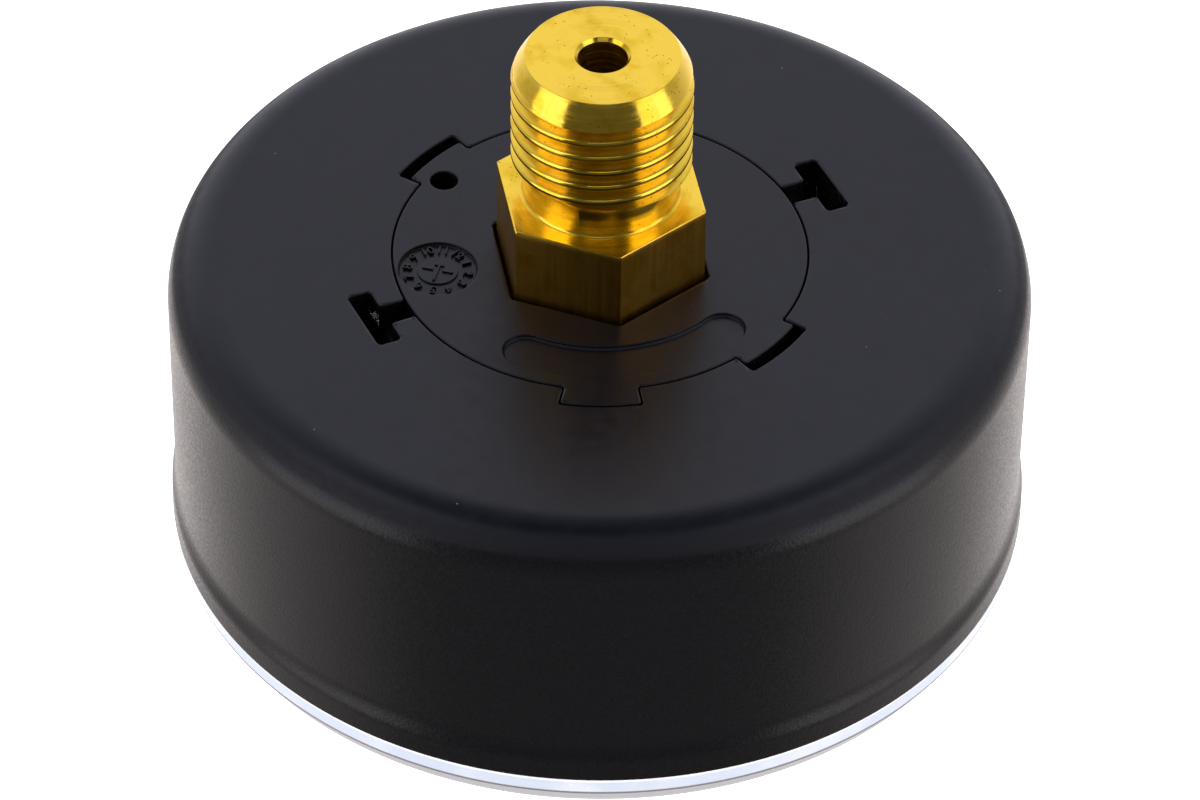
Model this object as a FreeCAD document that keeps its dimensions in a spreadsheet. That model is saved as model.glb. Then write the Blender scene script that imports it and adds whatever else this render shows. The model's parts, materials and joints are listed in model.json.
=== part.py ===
import FreeCAD, Part
import math
import os

import Sketcher

# Pressure gauge with a central rear connection, lying face down on its window.
# Millimetres. +Z runs up the threaded stem, z = 0 is the front face of the window,
# and 12 o'clock of the dial points along -Y.

Vector = FreeCAD.Vector
UP = Vector(0, 0, 1)

SIZES = {
    # Case: a cup open at the front, with a hole for the insert in its back.
    "lip_front": 3.1, "lip_back": 5.0, "flare_back": 6.1, "case_back": 26.05,
    "lip_radius": 31.8, "waist_radius": 31.5, "side_radius": 31.65, "back_round": 3.5,
    "bore_radius": 29.6, "back_wall": 2.2, "bead_groove": 29.95, "groove_slope": 0.35,
    "seat_radius": 15.25, "notch_radius": 17.1, "notch_span": 20.6,
    "slot_neck_radius": 17.2, "slot_neck_span": 7.0,
    "slot_bar_radius": 19.0, "slot_bar_span": 17.6, "slot_turn": 15.0,
    "hook_tip_radius": 16.2, "hook_outer_radius": 20.6,
    "hook_span": 15.0, "hook_low": 19.9, "hook_catch": 21.95,
    # Insert: the disc that closes the back and holds the socket.
    "insert_radius": 15.13, "insert_low": 22.0, "flange_top": 23.8, "flange_radius": 17.0,
    "tab_short_radius": 16.15, "tab_long_radius": 16.95, "tab_span": 19.8, "tab_drop": 0.1,
    "mark_depth": 0.3, "label_inner": 10.6, "label_outer": 13.9, "label_span": 72.0,
    "date_radius": 2.9, "date_place": 12.0, "vent_radius": 1.03, "vent_place": 13.95,
    "vent_turn": 135.5, "hex_gap": 0.3,
    "pilot_depth": 2.6,
    # Socket: hexagon, relief neck, G 1/4 thread and the block that carries the tube.
    "hex_flats": 14.0, "hex_top": 32.17, "neck_radius": 5.7, "neck_top": 34.6,
    "thread_radius": 6.5785, "thread_pitch": 1.337, "thread_depth": 0.8,
    "crest_flat": 0.32, "root_flat": 0.18, "thread_start": 33.37, "thread_turn": 71.4,
    "stem_top": 44.4, "lead_in": 1.0,
    "lead_in_high": 1.9, "inlet_radius": 1.8, "inlet_chamfer": 0.25, "inlet_floor": 16.5,
    "block_low": 14.0, "block_top": 22.0, "block_half_x": 12.6, "block_half_y": 7.5,
    "arm_left": 7.0, "arm_right": 4.0, "arm_reach": 22.6, "arm_heel": 17.3,
    "arm_low": 9.9, "arm_top": 19.2, "port_radius": 0.8, "port_height": 17.0,
    "chamber_lead": 5.0, "arm_inset": 0.3, "inlet_cone": 1.0,
    # Screws and posts.
    "insert_screw_x": 9.3, "insert_screw_y": 4.8, "insert_screw_radius": 1.0,
    "insert_screw_head": 1.6, "insert_screw_rise": 9.2, "insert_head_high": 1.1,
    "sink_depth": 1.2, "sink_play": 0.15,
    "movement_screw_x": 3.4, "movement_screw_y": 4.7, "movement_screw_radius": 0.7,
    "movement_screw_head": 1.3, "movement_screw_rise": 4.4, "tapping_depth": 3.4,
    "plate_screw_radius": 0.6, "plate_screw_head": 1.1, "plate_screw_rise": 3.2,
    "pillar_tapping": 2.4, "head_high": 0.55, "slot_share": 0.18, "slot_deep_share": 0.4,
    # Bourdon tube: a flattened tube bent to an arc about the Z axis.
    "tube_radius": 19.5, "tube_half_thick": 1.3, "tube_half_high": 3.6, "tube_wall": 0.35,
    "tube_middle": 14.4, "tube_start": 95.0, "tube_sweep": 265.0,
    # Movement: two plates on pillars, turned 45 degrees about Z.
    "movement_turn": 45.0, "front_plate_low": 6.6, "front_plate_thick": 1.0,
    "back_plate_low": 12.8, "back_plate_thick": 1.2,
    "plate_start": -7.2, "plate_end": 16.3, "plate_half": 6.2, "plate_corner": 2.0,
    "pillar_radius": 1.2, "gear_distance": 13.2, "pivot_radius": 0.45, "pivot_play": 0.03,
    "end_play": 0.05, "pivot_inset": 0.1,
    "sector_low": 9.0, "sector_thick": 0.8, "sector_root": 11.8, "sector_tip": 12.15,
    "sector_rim": 10.5, "sector_hub": 1.9, "sector_span": 42.0, "sector_turn": 217.5,
    "sector_teeth": 14.0, "tooth_step": 3.0, "spoke_half": 0.6, "spoke_inset": 2.5,
    "spoke_start": 1.2, "tail_half": 1.1, "tail_end_half": 0.9,
    "tooth_root_half": 0.19, "tooth_tip_half": 0.06,
    "tail_reach": 4.6, "tail_turn": 18.5, "tip_pin_x": 15.2, "tip_pin_y": -1.0,
    "pinion_teeth": 12.0, "pinion_turn": 60.0, "pinion_root": 0.96, "pinion_tip": 1.34,
    "pinion_root_half": 0.17, "pinion_tip_half": 0.07, "pinion_low": 8.7,
    "pinion_high": 1.5, "arbor_radius": 0.7, "pointer_shaft": 0.6,
    # Link between the tube's tip and the sector's tail.
    "link_low": 8.35, "link_thick": 0.45, "eye_radius": 1.15, "link_half": 0.6,
    "link_pin": 0.5, "tail_play": 0.05, "tip_play": 0.14, "tip_nose": 0.9, "foot_thick": 0.9,
    "rivet_head": 0.8, "rivet_head_high": 0.3, "link_gap": 0.05, "foot_gap": 0.15,
    # End piece that closes the tube.
    "tip_gap": 0.02, "tip_depth": 2.6, "tip_half": 1.9, "tip_margin": 0.3,
    "plug_share": 0.75, "plug_depth": 1.6, "plug_half_high": 2.4, "leg_thick": 1.4,
    "leg_place": 2.6, "foot_reach": 1.3,
    # Hairspring.
    "spring_low": 11.1, "spring_high": 0.5, "spring_thick": 0.12, "spring_start": 1.25,
    "spring_step": 0.52, "spring_half_turns": 12.0, "stud_radius": 0.5,
    "collet_low": 10.9, "collet_high": 0.9, "collet_radius": 1.25, "spring_turn": 225.0,
    "stud_drop": 0.3,
    # Dial, pointer and window.
    "dial_low": 4.6, "dial_thick": 0.5, "dial_radius": 28.0, "dial_hole": 1.5,
    "post_place": 11.0, "post_radius": 1.2, "spigot_high": 2.8, "post_hole_depth": 3.0,
    "dial_screw_radius": 0.9, "dial_screw_play": 0.1, "dial_screw_rise": 3.8,
    "dial_tapping": 3.7, "dial_screw_head": 1.7, "blade_low": 2.9, "blade_thick": 0.3,
    "blade_reach": 21.5, "blade_tail": 8.5, "blade_tip_half": 0.12, "blade_half": 0.62,
    "blade_wide_half": 1.5, "blade_waist_half": 0.8, "blade_shoulder": 15.48,
    "hub_radius": 2.2, "hub_low": 2.35, "hub_chamfer": 0.3, "hub_collar": 1.45,
    "hub_collar_back": 1.2, "hub_high": 1.75, "hub_neck": 1.0, "shaft_front": 2.6,
    "arbor_front": 6.3,
    "stop_place": 13.5, "stop_radius": 0.45, "stop_turn": 130.0, "stop_front": 2.6,
    "zero_turn": 135.0,
    "lens_radius": 30.7, "lens_thick": 1.8, "lens_chamfer": 0.3, "rim_radius": 31.6,
    "rim_low": 1.5, "spigot_outer": 29.5, "spigot_inner": 28.4, "spigot_top": 6.2,
    "bead_radius": 29.8, "bead_low": 4.4, "bead_high": 5.6, "bead_play": 0.1,
    # Overlaps: how far a cutting tool runs past a solid, and how deep joined pieces merge.
    "overrun": 1.0, "merge": 0.5, "thread_overrun": 0.15,
}

doc = FreeCAD.newDocument("PressureGauge")
sheet = doc.addObject("Spreadsheet::Sheet", "Sizes")
for row, (alias, number) in enumerate(SIZES.items(), start=1):
    sheet.set("A%d" % row, alias)
    sheet.set("B%d" % row, str(number))
    sheet.setAlias("B%d" % row, alias)
doc.recompute()

sub_parts = []


# ---------------------------------------------------------------- helpers

def value(formula):
    """Works a formula of sheet names out to a number."""
    node = doc.getObject("Reckoner") or doc.addObject("App::FeaturePython", "Reckoner")
    if "number" not in node.PropertiesList:
        node.addProperty("App::PropertyFloat", "number")
    node.setExpression("number", linked(formula))
    node.recompute()
    return node.number


def linked(formula):
    """Writes each sheet name in a formula as a reference to the sheet."""
    words = []
    word = ""
    for letter in str(formula) + " ":
        if letter.isalnum() or letter in "_.":
            word += letter
            continue
        words.append("Sizes." + word if word in SIZES else word)
        words.append(letter)
        word = ""
    return "".join(words).strip()


def bind(item, **formulas):
    """Binds properties to sheet formulas; two underscores stand for a dot."""
    for name, formula in formulas.items():
        item.setExpression(name.replace("__", "."), linked(formula))
    return item


def keep(item, label):
    """Marks an object as a sub-part of the gauge."""
    item.Label = label
    sub_parts.append(item)
    return item


def plane(body, role):
    """Finds one of a body's own origin planes."""
    return next(feature for feature in body.Origin.OriginFeatures if feature.Role == role)


def sketch_on(body, name, role, height=None):
    """Adds an empty sketch to a body on one of its origin planes."""
    sketch = body.newObject("Sketcher::SketchObject", name)
    sketch.AttachmentSupport = (plane(body, role), [""])
    sketch.MapMode = "FlatFace"
    if height is not None:
        sketch.setExpression("AttachmentOffset.Base.z", linked(height))
    return sketch


def pin_point(sketch, geometry, point, across, along):
    """Places a point of a sketch at two sheet formulas from the origin."""
    for axis, kind, formula in ((-2, "DistanceX", across), (-1, "DistanceY", along)):
        amount = value(formula)
        if abs(amount) < 1e-9:
            sketch.addConstraint(Sketcher.Constraint("PointOnObject", geometry, point, axis))
            continue
        index = sketch.addConstraint(
            Sketcher.Constraint(kind, -1, 1, geometry, point, amount))
        sketch.setExpression("Constraints[%d]" % index, linked(formula))


def polygon(sketch, corners):
    """Draws a closed outline whose corners are pairs of sheet formulas."""
    points = [Vector(value(x), value(y), 0) for x, y in corners]
    first = sketch.GeometryCount
    count = len(points)
    for i in range(count):
        sketch.addGeometry(Part.LineSegment(points[i], points[(i + 1) % count]), False)
    for i in range(count):
        following = first + (i + 1) % count
        sketch.addConstraint(Sketcher.Constraint("Coincident", first + i, 2, following, 1))
    for i, (across, along) in enumerate(corners):
        pin_point(sketch, first + i, 1, across, along)


def circle(sketch, across, along, radius):
    """Draws a circle whose centre and radius are sheet formulas."""
    centre = Vector(value(across), value(along), 0)
    index = sketch.addGeometry(Part.Circle(centre, UP, value(radius)), False)
    pin_point(sketch, index, 3, across, along)
    size = sketch.addConstraint(Sketcher.Constraint("Radius", index, value(radius)))
    sketch.setExpression("Constraints[%d]" % size, linked(radius))


def flat_oval(sketch, across, along, half_thick, half_high):
    """Draws an upright oval of two straight sides and two half circles."""
    x, y = value(across), value(along)
    thick, rise = value(half_thick), value(half_high) - value(half_thick)
    centres = (Vector(x, y + rise, 0), Vector(x, y - rise, 0))
    top = sketch.addGeometry(
        Part.ArcOfCircle(Part.Circle(centres[0], UP, thick), 0, math.pi), False)
    left = sketch.addGeometry(
        Part.LineSegment(Vector(x - thick, y + rise, 0), Vector(x - thick, y - rise, 0)), False)
    low = sketch.addGeometry(
        Part.ArcOfCircle(Part.Circle(centres[1], UP, thick), math.pi, 2 * math.pi), False)
    right = sketch.addGeometry(
        Part.LineSegment(Vector(x + thick, y - rise, 0), Vector(x + thick, y + rise, 0)), False)
    loop = ((top, left), (left, low), (low, right), (right, top))
    for one, following in loop:
        sketch.addConstraint(Sketcher.Constraint("Tangent", one, 2, following, 1))
    offset = "(%s - %s)" % (half_high, half_thick)
    pin_point(sketch, top, 3, across, "%s + %s" % (along, offset))
    pin_point(sketch, low, 3, across, "%s - %s" % (along, offset))
    size = sketch.addConstraint(Sketcher.Constraint("Radius", top, thick))
    sketch.setExpression("Constraints[%d]" % size, linked(half_thick))


def revolve(body, sketch, angle=360.0, kind="PartDesign::Revolution"):
    """Turns a sketch on the XZ plane about the Z axis."""
    turned = body.newObject(kind, sketch.Name + "Turn")
    turned.Profile = sketch
    turned.ReferenceAxis = (sketch, ["V_Axis"])
    turned.Angle = angle
    return turned


def turned(name, corners):
    """A body turned about Z from an outline of (radius, height) formulas."""
    body = doc.addObject("PartDesign::Body", name)
    sketch = sketch_on(body, name + "Outline", "XZ_Plane")
    polygon(sketch, corners)
    revolve(body, sketch)
    doc.recompute()
    return body


def pad(body, sketch, thick):
    """Raises a sketch on the XY plane by a sheet formula."""
    raised = body.newObject("PartDesign::Pad", sketch.Name + "Pad")
    raised.Profile = sketch
    bind(raised, Length=thick)
    return raised


def cylinder(name, radius, low, high, across="0", along="0", span=360.0, start=0.0):
    """An upright cylinder, or a wedge of one that begins at an angle."""
    item = doc.addObject("Part::Cylinder", name)
    item.Angle = span
    item.Placement = FreeCAD.Placement(Vector(), FreeCAD.Rotation(UP, start))
    bind(item, Radius=radius, Height=high, Placement__Base__x=across,
         Placement__Base__y=along, Placement__Base__z=low)
    return item


def box(name, corner, size):
    """A box from its lowest corner and its three sizes, all sheet formulas."""
    item = doc.addObject("Part::Box", name)
    bind(item, Length=size[0], Width=size[1], Height=size[2], Placement__Base__x=corner[0],
         Placement__Base__y=corner[1], Placement__Base__z=corner[2])
    return item


def cut(name, base, tool):
    item = doc.addObject("Part::Cut", name)
    item.Base = base
    item.Tool = tool
    return item


def fuse(name, *pieces):
    item = doc.addObject("Part::MultiFuse", name)
    item.Shapes = list(pieces)
    return item


def group(label, pieces):
    """Several equal solids that share one node."""
    item = doc.addObject("Part::Compound", label + "_group")
    item.Links = pieces
    return keep(item, label)


def ring_wedge(name, inner, outer, low, high, middle, span):
    """A stretch of a flat ring, centred on an angle."""
    angle = value(span)
    start = value(middle) - angle / 2
    whole = cylinder(name + "Whole", outer, low, high, span=angle, start=start)
    core = cylinder(name + "Core", inner, low, high)
    return cut(name, whole, core)


def turn(item, angle):
    """Turns a finished object about the Z axis by a number of degrees."""
    item.Placement = FreeCAD.Placement(item.Placement.Base, FreeCAD.Rotation(UP, angle))
    return item


def polar(radius, angle):
    """Two formulas for a point at a radius and an angle in degrees."""
    return ("%s * cos(%s * 1deg)" % (radius, angle), "%s * sin(%s * 1deg)" % (radius, angle))


def screw(name, across, along, head_low, head_radius, head_high, shank_radius, shank_high):
    """A slotted screw that points up, its head at the low end."""
    head = cylinder(name + "Head", head_radius, head_low, head_high, across, along)
    shank_low = "%s + %s" % (head_low, head_high)
    shank = cylinder(name + "Shank", shank_radius, shank_low, shank_high, across, along)
    slot_half = "%s * slot_share" % head_radius
    slot = box(name + "Slot",
               ("%s - %s" % (across, head_radius), "%s - %s" % (along, slot_half), head_low),
               ("2 * %s" % head_radius, "2 * %s" % slot_half, "%s * slot_deep_share" % head_high))
    return cut(name, fuse(name + "Blank", head, shank), slot)


# ---------------------------------------------------------------- housing

NOTCHES = {"130": "tab_short_radius", "310": "tab_short_radius",
           "80": "tab_long_radius", "260": "tab_long_radius"}


def make_case():
    """Cup with a flared lip, a rounded back edge, slots, notches and two catch hooks."""
    body = turned("CaseBody", [
        ("seat_radius", "case_back - back_wall"),
        ("bore_radius", "case_back - back_wall"),
        ("bore_radius", "bead_high"),
        ("bead_groove", "bead_high - groove_slope"),
        ("bead_groove", "bead_low + groove_slope"),
        ("bore_radius", "bead_low"),
        ("bore_radius", "lip_front"),
        ("lip_radius", "lip_front"),
        ("lip_radius", "lip_back"),
        ("waist_radius", "flare_back"),
        ("side_radius", "case_back"),
        ("seat_radius", "case_back"),
    ])
    cup = body.Tip
    back_edge = edges_of_circle(cup.Shape, value("side_radius"), value("case_back"))
    rounding = body.newObject("PartDesign::Fillet", "CaseRounding")
    rounding.Base = (cup, back_edge)
    bind(rounding, Radius="back_round")
    doc.recompute()

    wall = ("case_back - back_wall - overrun", "back_wall + 2 * overrun")
    openings = []
    for i, angle in enumerate(NOTCHES):
        openings.append(ring_wedge("CaseNotch%d" % i, "seat_radius - overrun", "notch_radius",
                                   *wall, angle, "notch_span"))
    hooks = []
    for i, opposite in enumerate(("0", "180")):
        angle = "slot_turn + " + opposite
        openings.append(ring_wedge("SlotNeck%d" % i, "seat_radius - overrun",
                                   "slot_neck_radius + merge", *wall, angle, "slot_neck_span"))
        openings.append(ring_wedge("SlotBar%d" % i, "slot_neck_radius",
                                   "slot_bar_radius", *wall, angle, "slot_bar_span"))
        hooks.append(ring_wedge("HookNose%d" % i, "hook_tip_radius", "hook_outer_radius",
                                "hook_low", "hook_catch - hook_low", angle, "hook_span"))
        hooks.append(ring_wedge("HookPost%d" % i, "slot_bar_radius", "hook_outer_radius",
                                "hook_low", "case_back - back_wall + merge - hook_low", angle,
                                "hook_span"))
    shell = cut("CaseOpened", body, fuse("CaseOpenings", *openings))
    return keep(fuse("Case", shell, *hooks), "case")


def edges_of_circle(shape, radius, height):
    """Names of the round edges with a given radius at a given height."""
    names = []
    for index, edge in enumerate(shape.Edges, start=1):
        curve = edge.Curve
        if not isinstance(curve, Part.Circle):
            continue
        if abs(curve.Radius - radius) < 0.01 and abs(curve.Center.z - height) < 0.01:
            names.append("Edge%d" % index)
    return names


def make_insert():
    """Disc with four tabs, an inner flange, a hexagonal hole and moulded recesses."""
    disc = turned("InsertDisc", [
        ("0", "insert_low"),
        ("flange_radius", "insert_low"),
        ("flange_radius", "flange_top"),
        ("insert_radius", "flange_top"),
        ("insert_radius", "case_back"),
        ("0", "case_back"),
    ])
    tabs = []
    for i, (angle, reach) in enumerate(NOTCHES.items()):
        tabs.append(ring_wedge("Tab%d" % i, "insert_radius - merge", reach,
                               "flange_top - merge", "case_back - tab_drop - flange_top + merge",
                               angle, "tab_span"))
    hexagon = doc.addObject("Part::Prism", "InsertHexHole")
    hexagon.Polygon = 6
    hexagon.Placement = FreeCAD.Placement(Vector(), FreeCAD.Rotation(UP, 30))
    bind(hexagon, Circumradius="(hex_flats / 2 + hex_gap) / cos(30deg)",
         Height="case_back - insert_low + 2 * overrun", Placement__Base__z="insert_low - overrun")

    mark_low = "case_back - mark_depth"
    label_radius = "(label_outer - label_inner) / 2"
    label_middle = "(label_outer + label_inner) / 2"
    mark = (mark_low, "mark_depth + overrun")
    label = [ring_wedge("LabelBand", "label_inner", "label_outer", *mark, "270", "label_span")]
    for i, side in enumerate(("270 - label_span / 2", "270 + label_span / 2")):
        label.append(cylinder("LabelEnd%d" % i, label_radius, *mark,
                              *polar(label_middle, "(%s)" % side)))
    date = cylinder("DateRecess", "date_radius", *mark, "-date_place")
    vent = cylinder("VentHole", "vent_radius", "insert_low - overrun",
                    "case_back - insert_low + 2 * overrun", *polar("vent_place", "vent_turn"))
    pilots = [cylinder("InsertPilot%d" % i, "insert_screw_radius", "insert_low - overrun",
                       "pilot_depth + overrun", *insert_screw_place(side))
              for i, side in enumerate(("", "-"))]
    recesses = fuse("InsertRecesses", hexagon, date, vent, *label, *pilots)
    return keep(cut("Insert", fuse("InsertSolid", disc, *tabs), recesses), "rear_insert")


def make_window():
    """Clear lens with a stepped rim and a spigot that snaps into the case."""
    return keep(turned("Window", [
        ("0", "0"),
        ("lens_radius - lens_chamfer", "0"),
        ("lens_radius", "lens_chamfer"),
        ("lens_radius", "rim_low"),
        ("rim_radius", "rim_low"),
        ("rim_radius", "lip_front"),
        ("spigot_outer", "lip_front"),
        ("spigot_outer", "bead_low + bead_play"),
        ("bead_radius", "bead_low + bead_play + groove_slope"),
        ("bead_radius", "bead_high - bead_play - groove_slope"),
        ("spigot_outer", "bead_high - bead_play"),
        ("spigot_outer", "spigot_top"),
        ("spigot_inner", "spigot_top"),
        ("spigot_inner", "lens_thick"),
        ("0", "lens_thick"),
    ]), "window")


# ---------------------------------------------------------------- socket and tube

def unmerged(item):
    """Keeps the faces of a boolean result as they are cut."""
    item.Refine = False
    return item


def make_thread_groove():
    """Helical groove of the 55 degree thread form."""
    helix = doc.addObject("Part::Helix", "ThreadHelix")
    bind(helix, Pitch="thread_pitch", Height="stem_top - thread_start + thread_pitch",
         Radius="thread_radius", Placement__Base__z="thread_start")
    body = doc.addObject("PartDesign::Body", "ThreadForm")
    sketch = sketch_on(body, "ThreadProfile", "XZ_Plane")
    slope = "(thread_pitch - crest_flat - root_flat) / 2 / thread_depth"
    half_top = "((thread_pitch - crest_flat) / 2 + thread_overrun * %s)" % slope
    half_root = "root_flat / 2"
    polygon(sketch, [
        ("thread_radius + thread_overrun", "thread_start - " + half_top),
        ("thread_radius + thread_overrun", "thread_start + " + half_top),
        ("thread_radius - thread_depth", "thread_start + " + half_root),
        ("thread_radius - thread_depth", "thread_start - " + half_root),
    ])
    doc.recompute()
    groove = doc.addObject("Part::Sweep", "ThreadGroove")
    groove.Sections = [sketch]
    groove.Spine = (helix, [])
    groove.Solid = True
    groove.Frenet = True
    doc.recompute()
    return turn(groove, value("thread_turn"))


def make_thread():
    """Threaded stem with a lead-in, in six wedges so that each crest stays a short face."""
    blank = cylinder("StemBlank", "thread_radius", "neck_top", "stem_top - neck_top", start=90)
    lead_in = turned("LeadInRing", [
        ("thread_radius - lead_in", "stem_top + merge"),
        ("thread_radius - lead_in", "stem_top"),
        ("thread_radius + 0.3 * lead_in", "stem_top - 1.3 * lead_in_high"),
        ("thread_radius + 0.3 * lead_in", "stem_top + merge"),
    ])
    grooved = unmerged(cut("Grooved", blank, make_thread_groove()))
    threaded = unmerged(cut("Threaded", grooved, lead_in))
    wedge_count = 6
    span = 360.0 / wedge_count
    pieces = []
    for i in range(wedge_count):
        wedge = cylinder("StemWedge%d" % i, "thread_radius + overrun", "neck_top - overrun",
                         "stem_top - neck_top + 2 * overrun", span=span, start=(i + 0.4) * span)
        piece = doc.addObject("Part::Common", "StemPiece%d" % i)
        piece.Base = threaded
        piece.Tool = wedge
        pieces.append(unmerged(piece))
    return pieces


def make_socket():
    """Brass socket: hexagon, neck, thread, inlet bore, block and arm for the tube."""
    hexagon = doc.addObject("Part::Prism", "SocketHex")
    hexagon.Polygon = 6
    hexagon.Placement = FreeCAD.Placement(Vector(), FreeCAD.Rotation(UP, 30))
    bind(hexagon, Circumradius="hex_flats / 2 / cos(30deg)",
         Height="hex_top - block_top + merge", Placement__Base__z="block_top - merge")
    neck = cylinder("SocketNeck", "neck_radius", "hex_top - merge",
                    "neck_top - hex_top + 2 * merge")
    block = box("SocketBlock", ("-block_half_x", "-block_half_y", "block_low"),
                ("2 * block_half_x", "2 * block_half_y", "block_top - block_low"))
    arm = box("SocketArm", ("-arm_left", "0", "block_low"),
              ("arm_left + arm_right", "arm_reach - arm_inset", "arm_top - block_low"))
    heel = box("SocketHeel", ("-arm_left", "arm_heel", "arm_low"),
               ("arm_left + arm_right", "arm_reach - arm_heel", "arm_top - arm_low"))
    solid = unmerged(fuse("SocketSolid", *make_thread(), neck, hexagon, block, arm, heel))

    inlet = turned("InletBore", [
        ("0", "inlet_floor"),
        ("inlet_radius", "inlet_floor + inlet_cone"),
        ("inlet_radius", "stem_top - inlet_chamfer"),
        ("inlet_radius + inlet_chamfer + merge", "stem_top + merge"),
        ("0", "stem_top + merge"),
    ])
    port = doc.addObject("Part::Cylinder", "InletPort")
    port.Placement = FreeCAD.Placement(Vector(), FreeCAD.Rotation(Vector(1, 0, 0), -90))
    bind(port, Radius="port_radius", Height="tube_radius", Placement__Base__z="port_height")
    holes = [inlet, port, make_oval_arc("TubeSeat", False, value("chamber_lead"))]
    low = "block_low - overrun"
    for i, side in enumerate(("", "-")):
        holes.append(cylinder("PostHole%d" % i, "dial_screw_radius", low,
                              "post_hole_depth + overrun", side + "post_place"))
        holes.append(cylinder("InsertScrewHole%d" % i, "insert_screw_radius", low,
                              "block_top - block_low + 2 * overrun", *insert_screw_place(side)))
        holes.append(cylinder("InsertScrewSink%d" % i, "insert_screw_head + sink_play", low,
                              "sink_depth + overrun", *insert_screw_place(side)))
        holes.append(cylinder("MovementScrewHole%d" % i, "movement_screw_radius", low,
                              "tapping_depth + overrun", *movement_screw_place(side)))
    return keep(unmerged(cut("Socket", solid, fuse("SocketHoles", *holes))), "socket")


def insert_screw_place(side):
    """Formulas for one of the two screws that hold the insert; side is '' or '-'."""
    return (side + "insert_screw_x", side + "insert_screw_y")


def movement_screw_place(side):
    return movement_place("movement_screw_x", side + "movement_screw_y")


def movement_place(along, across):
    """Formulas for a point of the movement, whose long axis is turned 45 degrees."""
    turned_x = "(%s) * cos(movement_turn * 1deg) - (%s) * sin(movement_turn * 1deg)"
    turned_y = "(%s) * sin(movement_turn * 1deg) + (%s) * cos(movement_turn * 1deg)"
    return (turned_x % (along, across), turned_y % (along, across))


def make_oval_arc(name, hollow, lead):
    """The tube's oval section swept about Z; lead is how far it starts ahead, in degrees."""
    body = doc.addObject("PartDesign::Body", name)
    sketch = sketch_on(body, name + "Section", "XZ_Plane")
    flat_oval(sketch, "tube_radius", "tube_middle", "tube_half_thick", "tube_half_high")
    if hollow:
        flat_oval(sketch, "tube_radius", "tube_middle", "(tube_half_thick - tube_wall)",
                  "(tube_half_high - tube_wall)")
    swept = revolve(body, sketch, value("tube_sweep") + lead)
    swept.Reversed = False
    doc.recompute()
    body.Placement = FreeCAD.Placement(
        Vector(), FreeCAD.Rotation(UP, value("tube_start") - lead))
    return body


def make_bourdon_tube():
    return keep(make_oval_arc("BourdonTube", True, 0.0), "bourdon_tube")


def make_tube_tip():
    """Brass end piece: plug in the tube, closing block and bracket for the link."""
    low = "link_low + link_thick + foot_gap"
    plug_half = "(tube_half_thick - tube_wall) * plug_share"
    block = box("TipBlock", ("tube_radius - tip_half", "tip_gap",
                             "tube_middle - tube_half_high - tip_margin"),
                ("2 * tip_half", "tip_depth", "2 * tube_half_high + 2 * tip_margin"))
    plug = box("TipPlug", ("tube_radius - " + plug_half, "-plug_depth",
                           "tube_middle - plug_half_high"),
               ("2 * " + plug_half, "plug_depth + tip_gap + merge", "2 * plug_half_high"))
    leg = box("TipLeg", ("tube_radius - leg_place", "tip_gap", low),
              ("leg_thick", "tip_depth", "tube_middle - plug_half_high - (%s)" % low))
    foot = box("TipFoot", ("tip_pin_x", "tip_pin_y - tip_nose", low),
               ("tube_radius - foot_reach - tip_pin_x",
                "tip_gap + tip_depth + tip_nose - tip_pin_y", "foot_thick"))
    nose = cylinder("TipNose", "tip_nose", low, "foot_thick", "tip_pin_x", "tip_pin_y")
    hole = cylinder("TipHole", "link_pin", "link_low",
                    "link_thick + foot_gap + foot_thick + overrun",
                    "tip_pin_x", "tip_pin_y")
    solid = fuse("TipSolid", block, plug, leg, foot, nose)
    return keep(cut("TubeTip", solid, hole), "tube_tip")


# ---------------------------------------------------------------- movement

SECTOR_AXIS = movement_place("gear_distance", "0")
TAIL_PIN = ("%s + tail_reach * cos(tail_turn * 1deg)" % SECTOR_AXIS[0],
            "%s + tail_reach * sin(tail_turn * 1deg)" % SECTOR_AXIS[1])
TIP_PIN = ("tip_pin_x", "tip_pin_y")
PILLARS = [("-5", "4.6"), ("-5", "-4.6"), ("14.2", "4.6"), ("9.4", "-4.9")]
FRONT_TOP = "front_plate_low + front_plate_thick"


def make_plate(label, low, thick, holes):
    """Movement plate with rounded corners; holes are (along, across, radius)."""
    body = doc.addObject("PartDesign::Body", label + "_body")
    sketch = sketch_on(body, label + "_outline", "XY_Plane", low)
    polygon(sketch, [("plate_start", "-plate_half"), ("plate_end", "-plate_half"),
                     ("plate_end", "plate_half"), ("plate_start", "plate_half")])
    for along, across, radius in holes:
        circle(sketch, along, across, radius)
    raised = pad(body, sketch, thick)
    doc.recompute()
    corners = ["Edge%d" % i for i, edge in enumerate(raised.Shape.Edges, start=1)
               if isinstance(edge.Curve, Part.Line) and abs(edge.tangentAt(0).z) > 0.9]
    rounding = body.newObject("PartDesign::Fillet", label + "_corners")
    rounding.Base = (raised, corners)
    bind(rounding, Radius="plate_corner")
    doc.recompute()
    return keep(turn(body, value("movement_turn")), label)


def make_movement_plates():
    pivot = "pivot_radius + pivot_play"
    screws = [("movement_screw_x", side + "movement_screw_y", "movement_screw_radius")
              for side in ("", "-")]
    make_plate("movement_back_plate", "back_plate_low", "back_plate_thick",
               [("0", "0", pivot), ("gear_distance", "0", pivot)] + screws)
    make_plate("movement_front_plate", "front_plate_low", "front_plate_thick",
               [("0", "0", "arbor_radius + pivot_play"), ("gear_distance", "0", pivot)]
               + [(along, across, "plate_screw_radius") for along, across in PILLARS])


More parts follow.
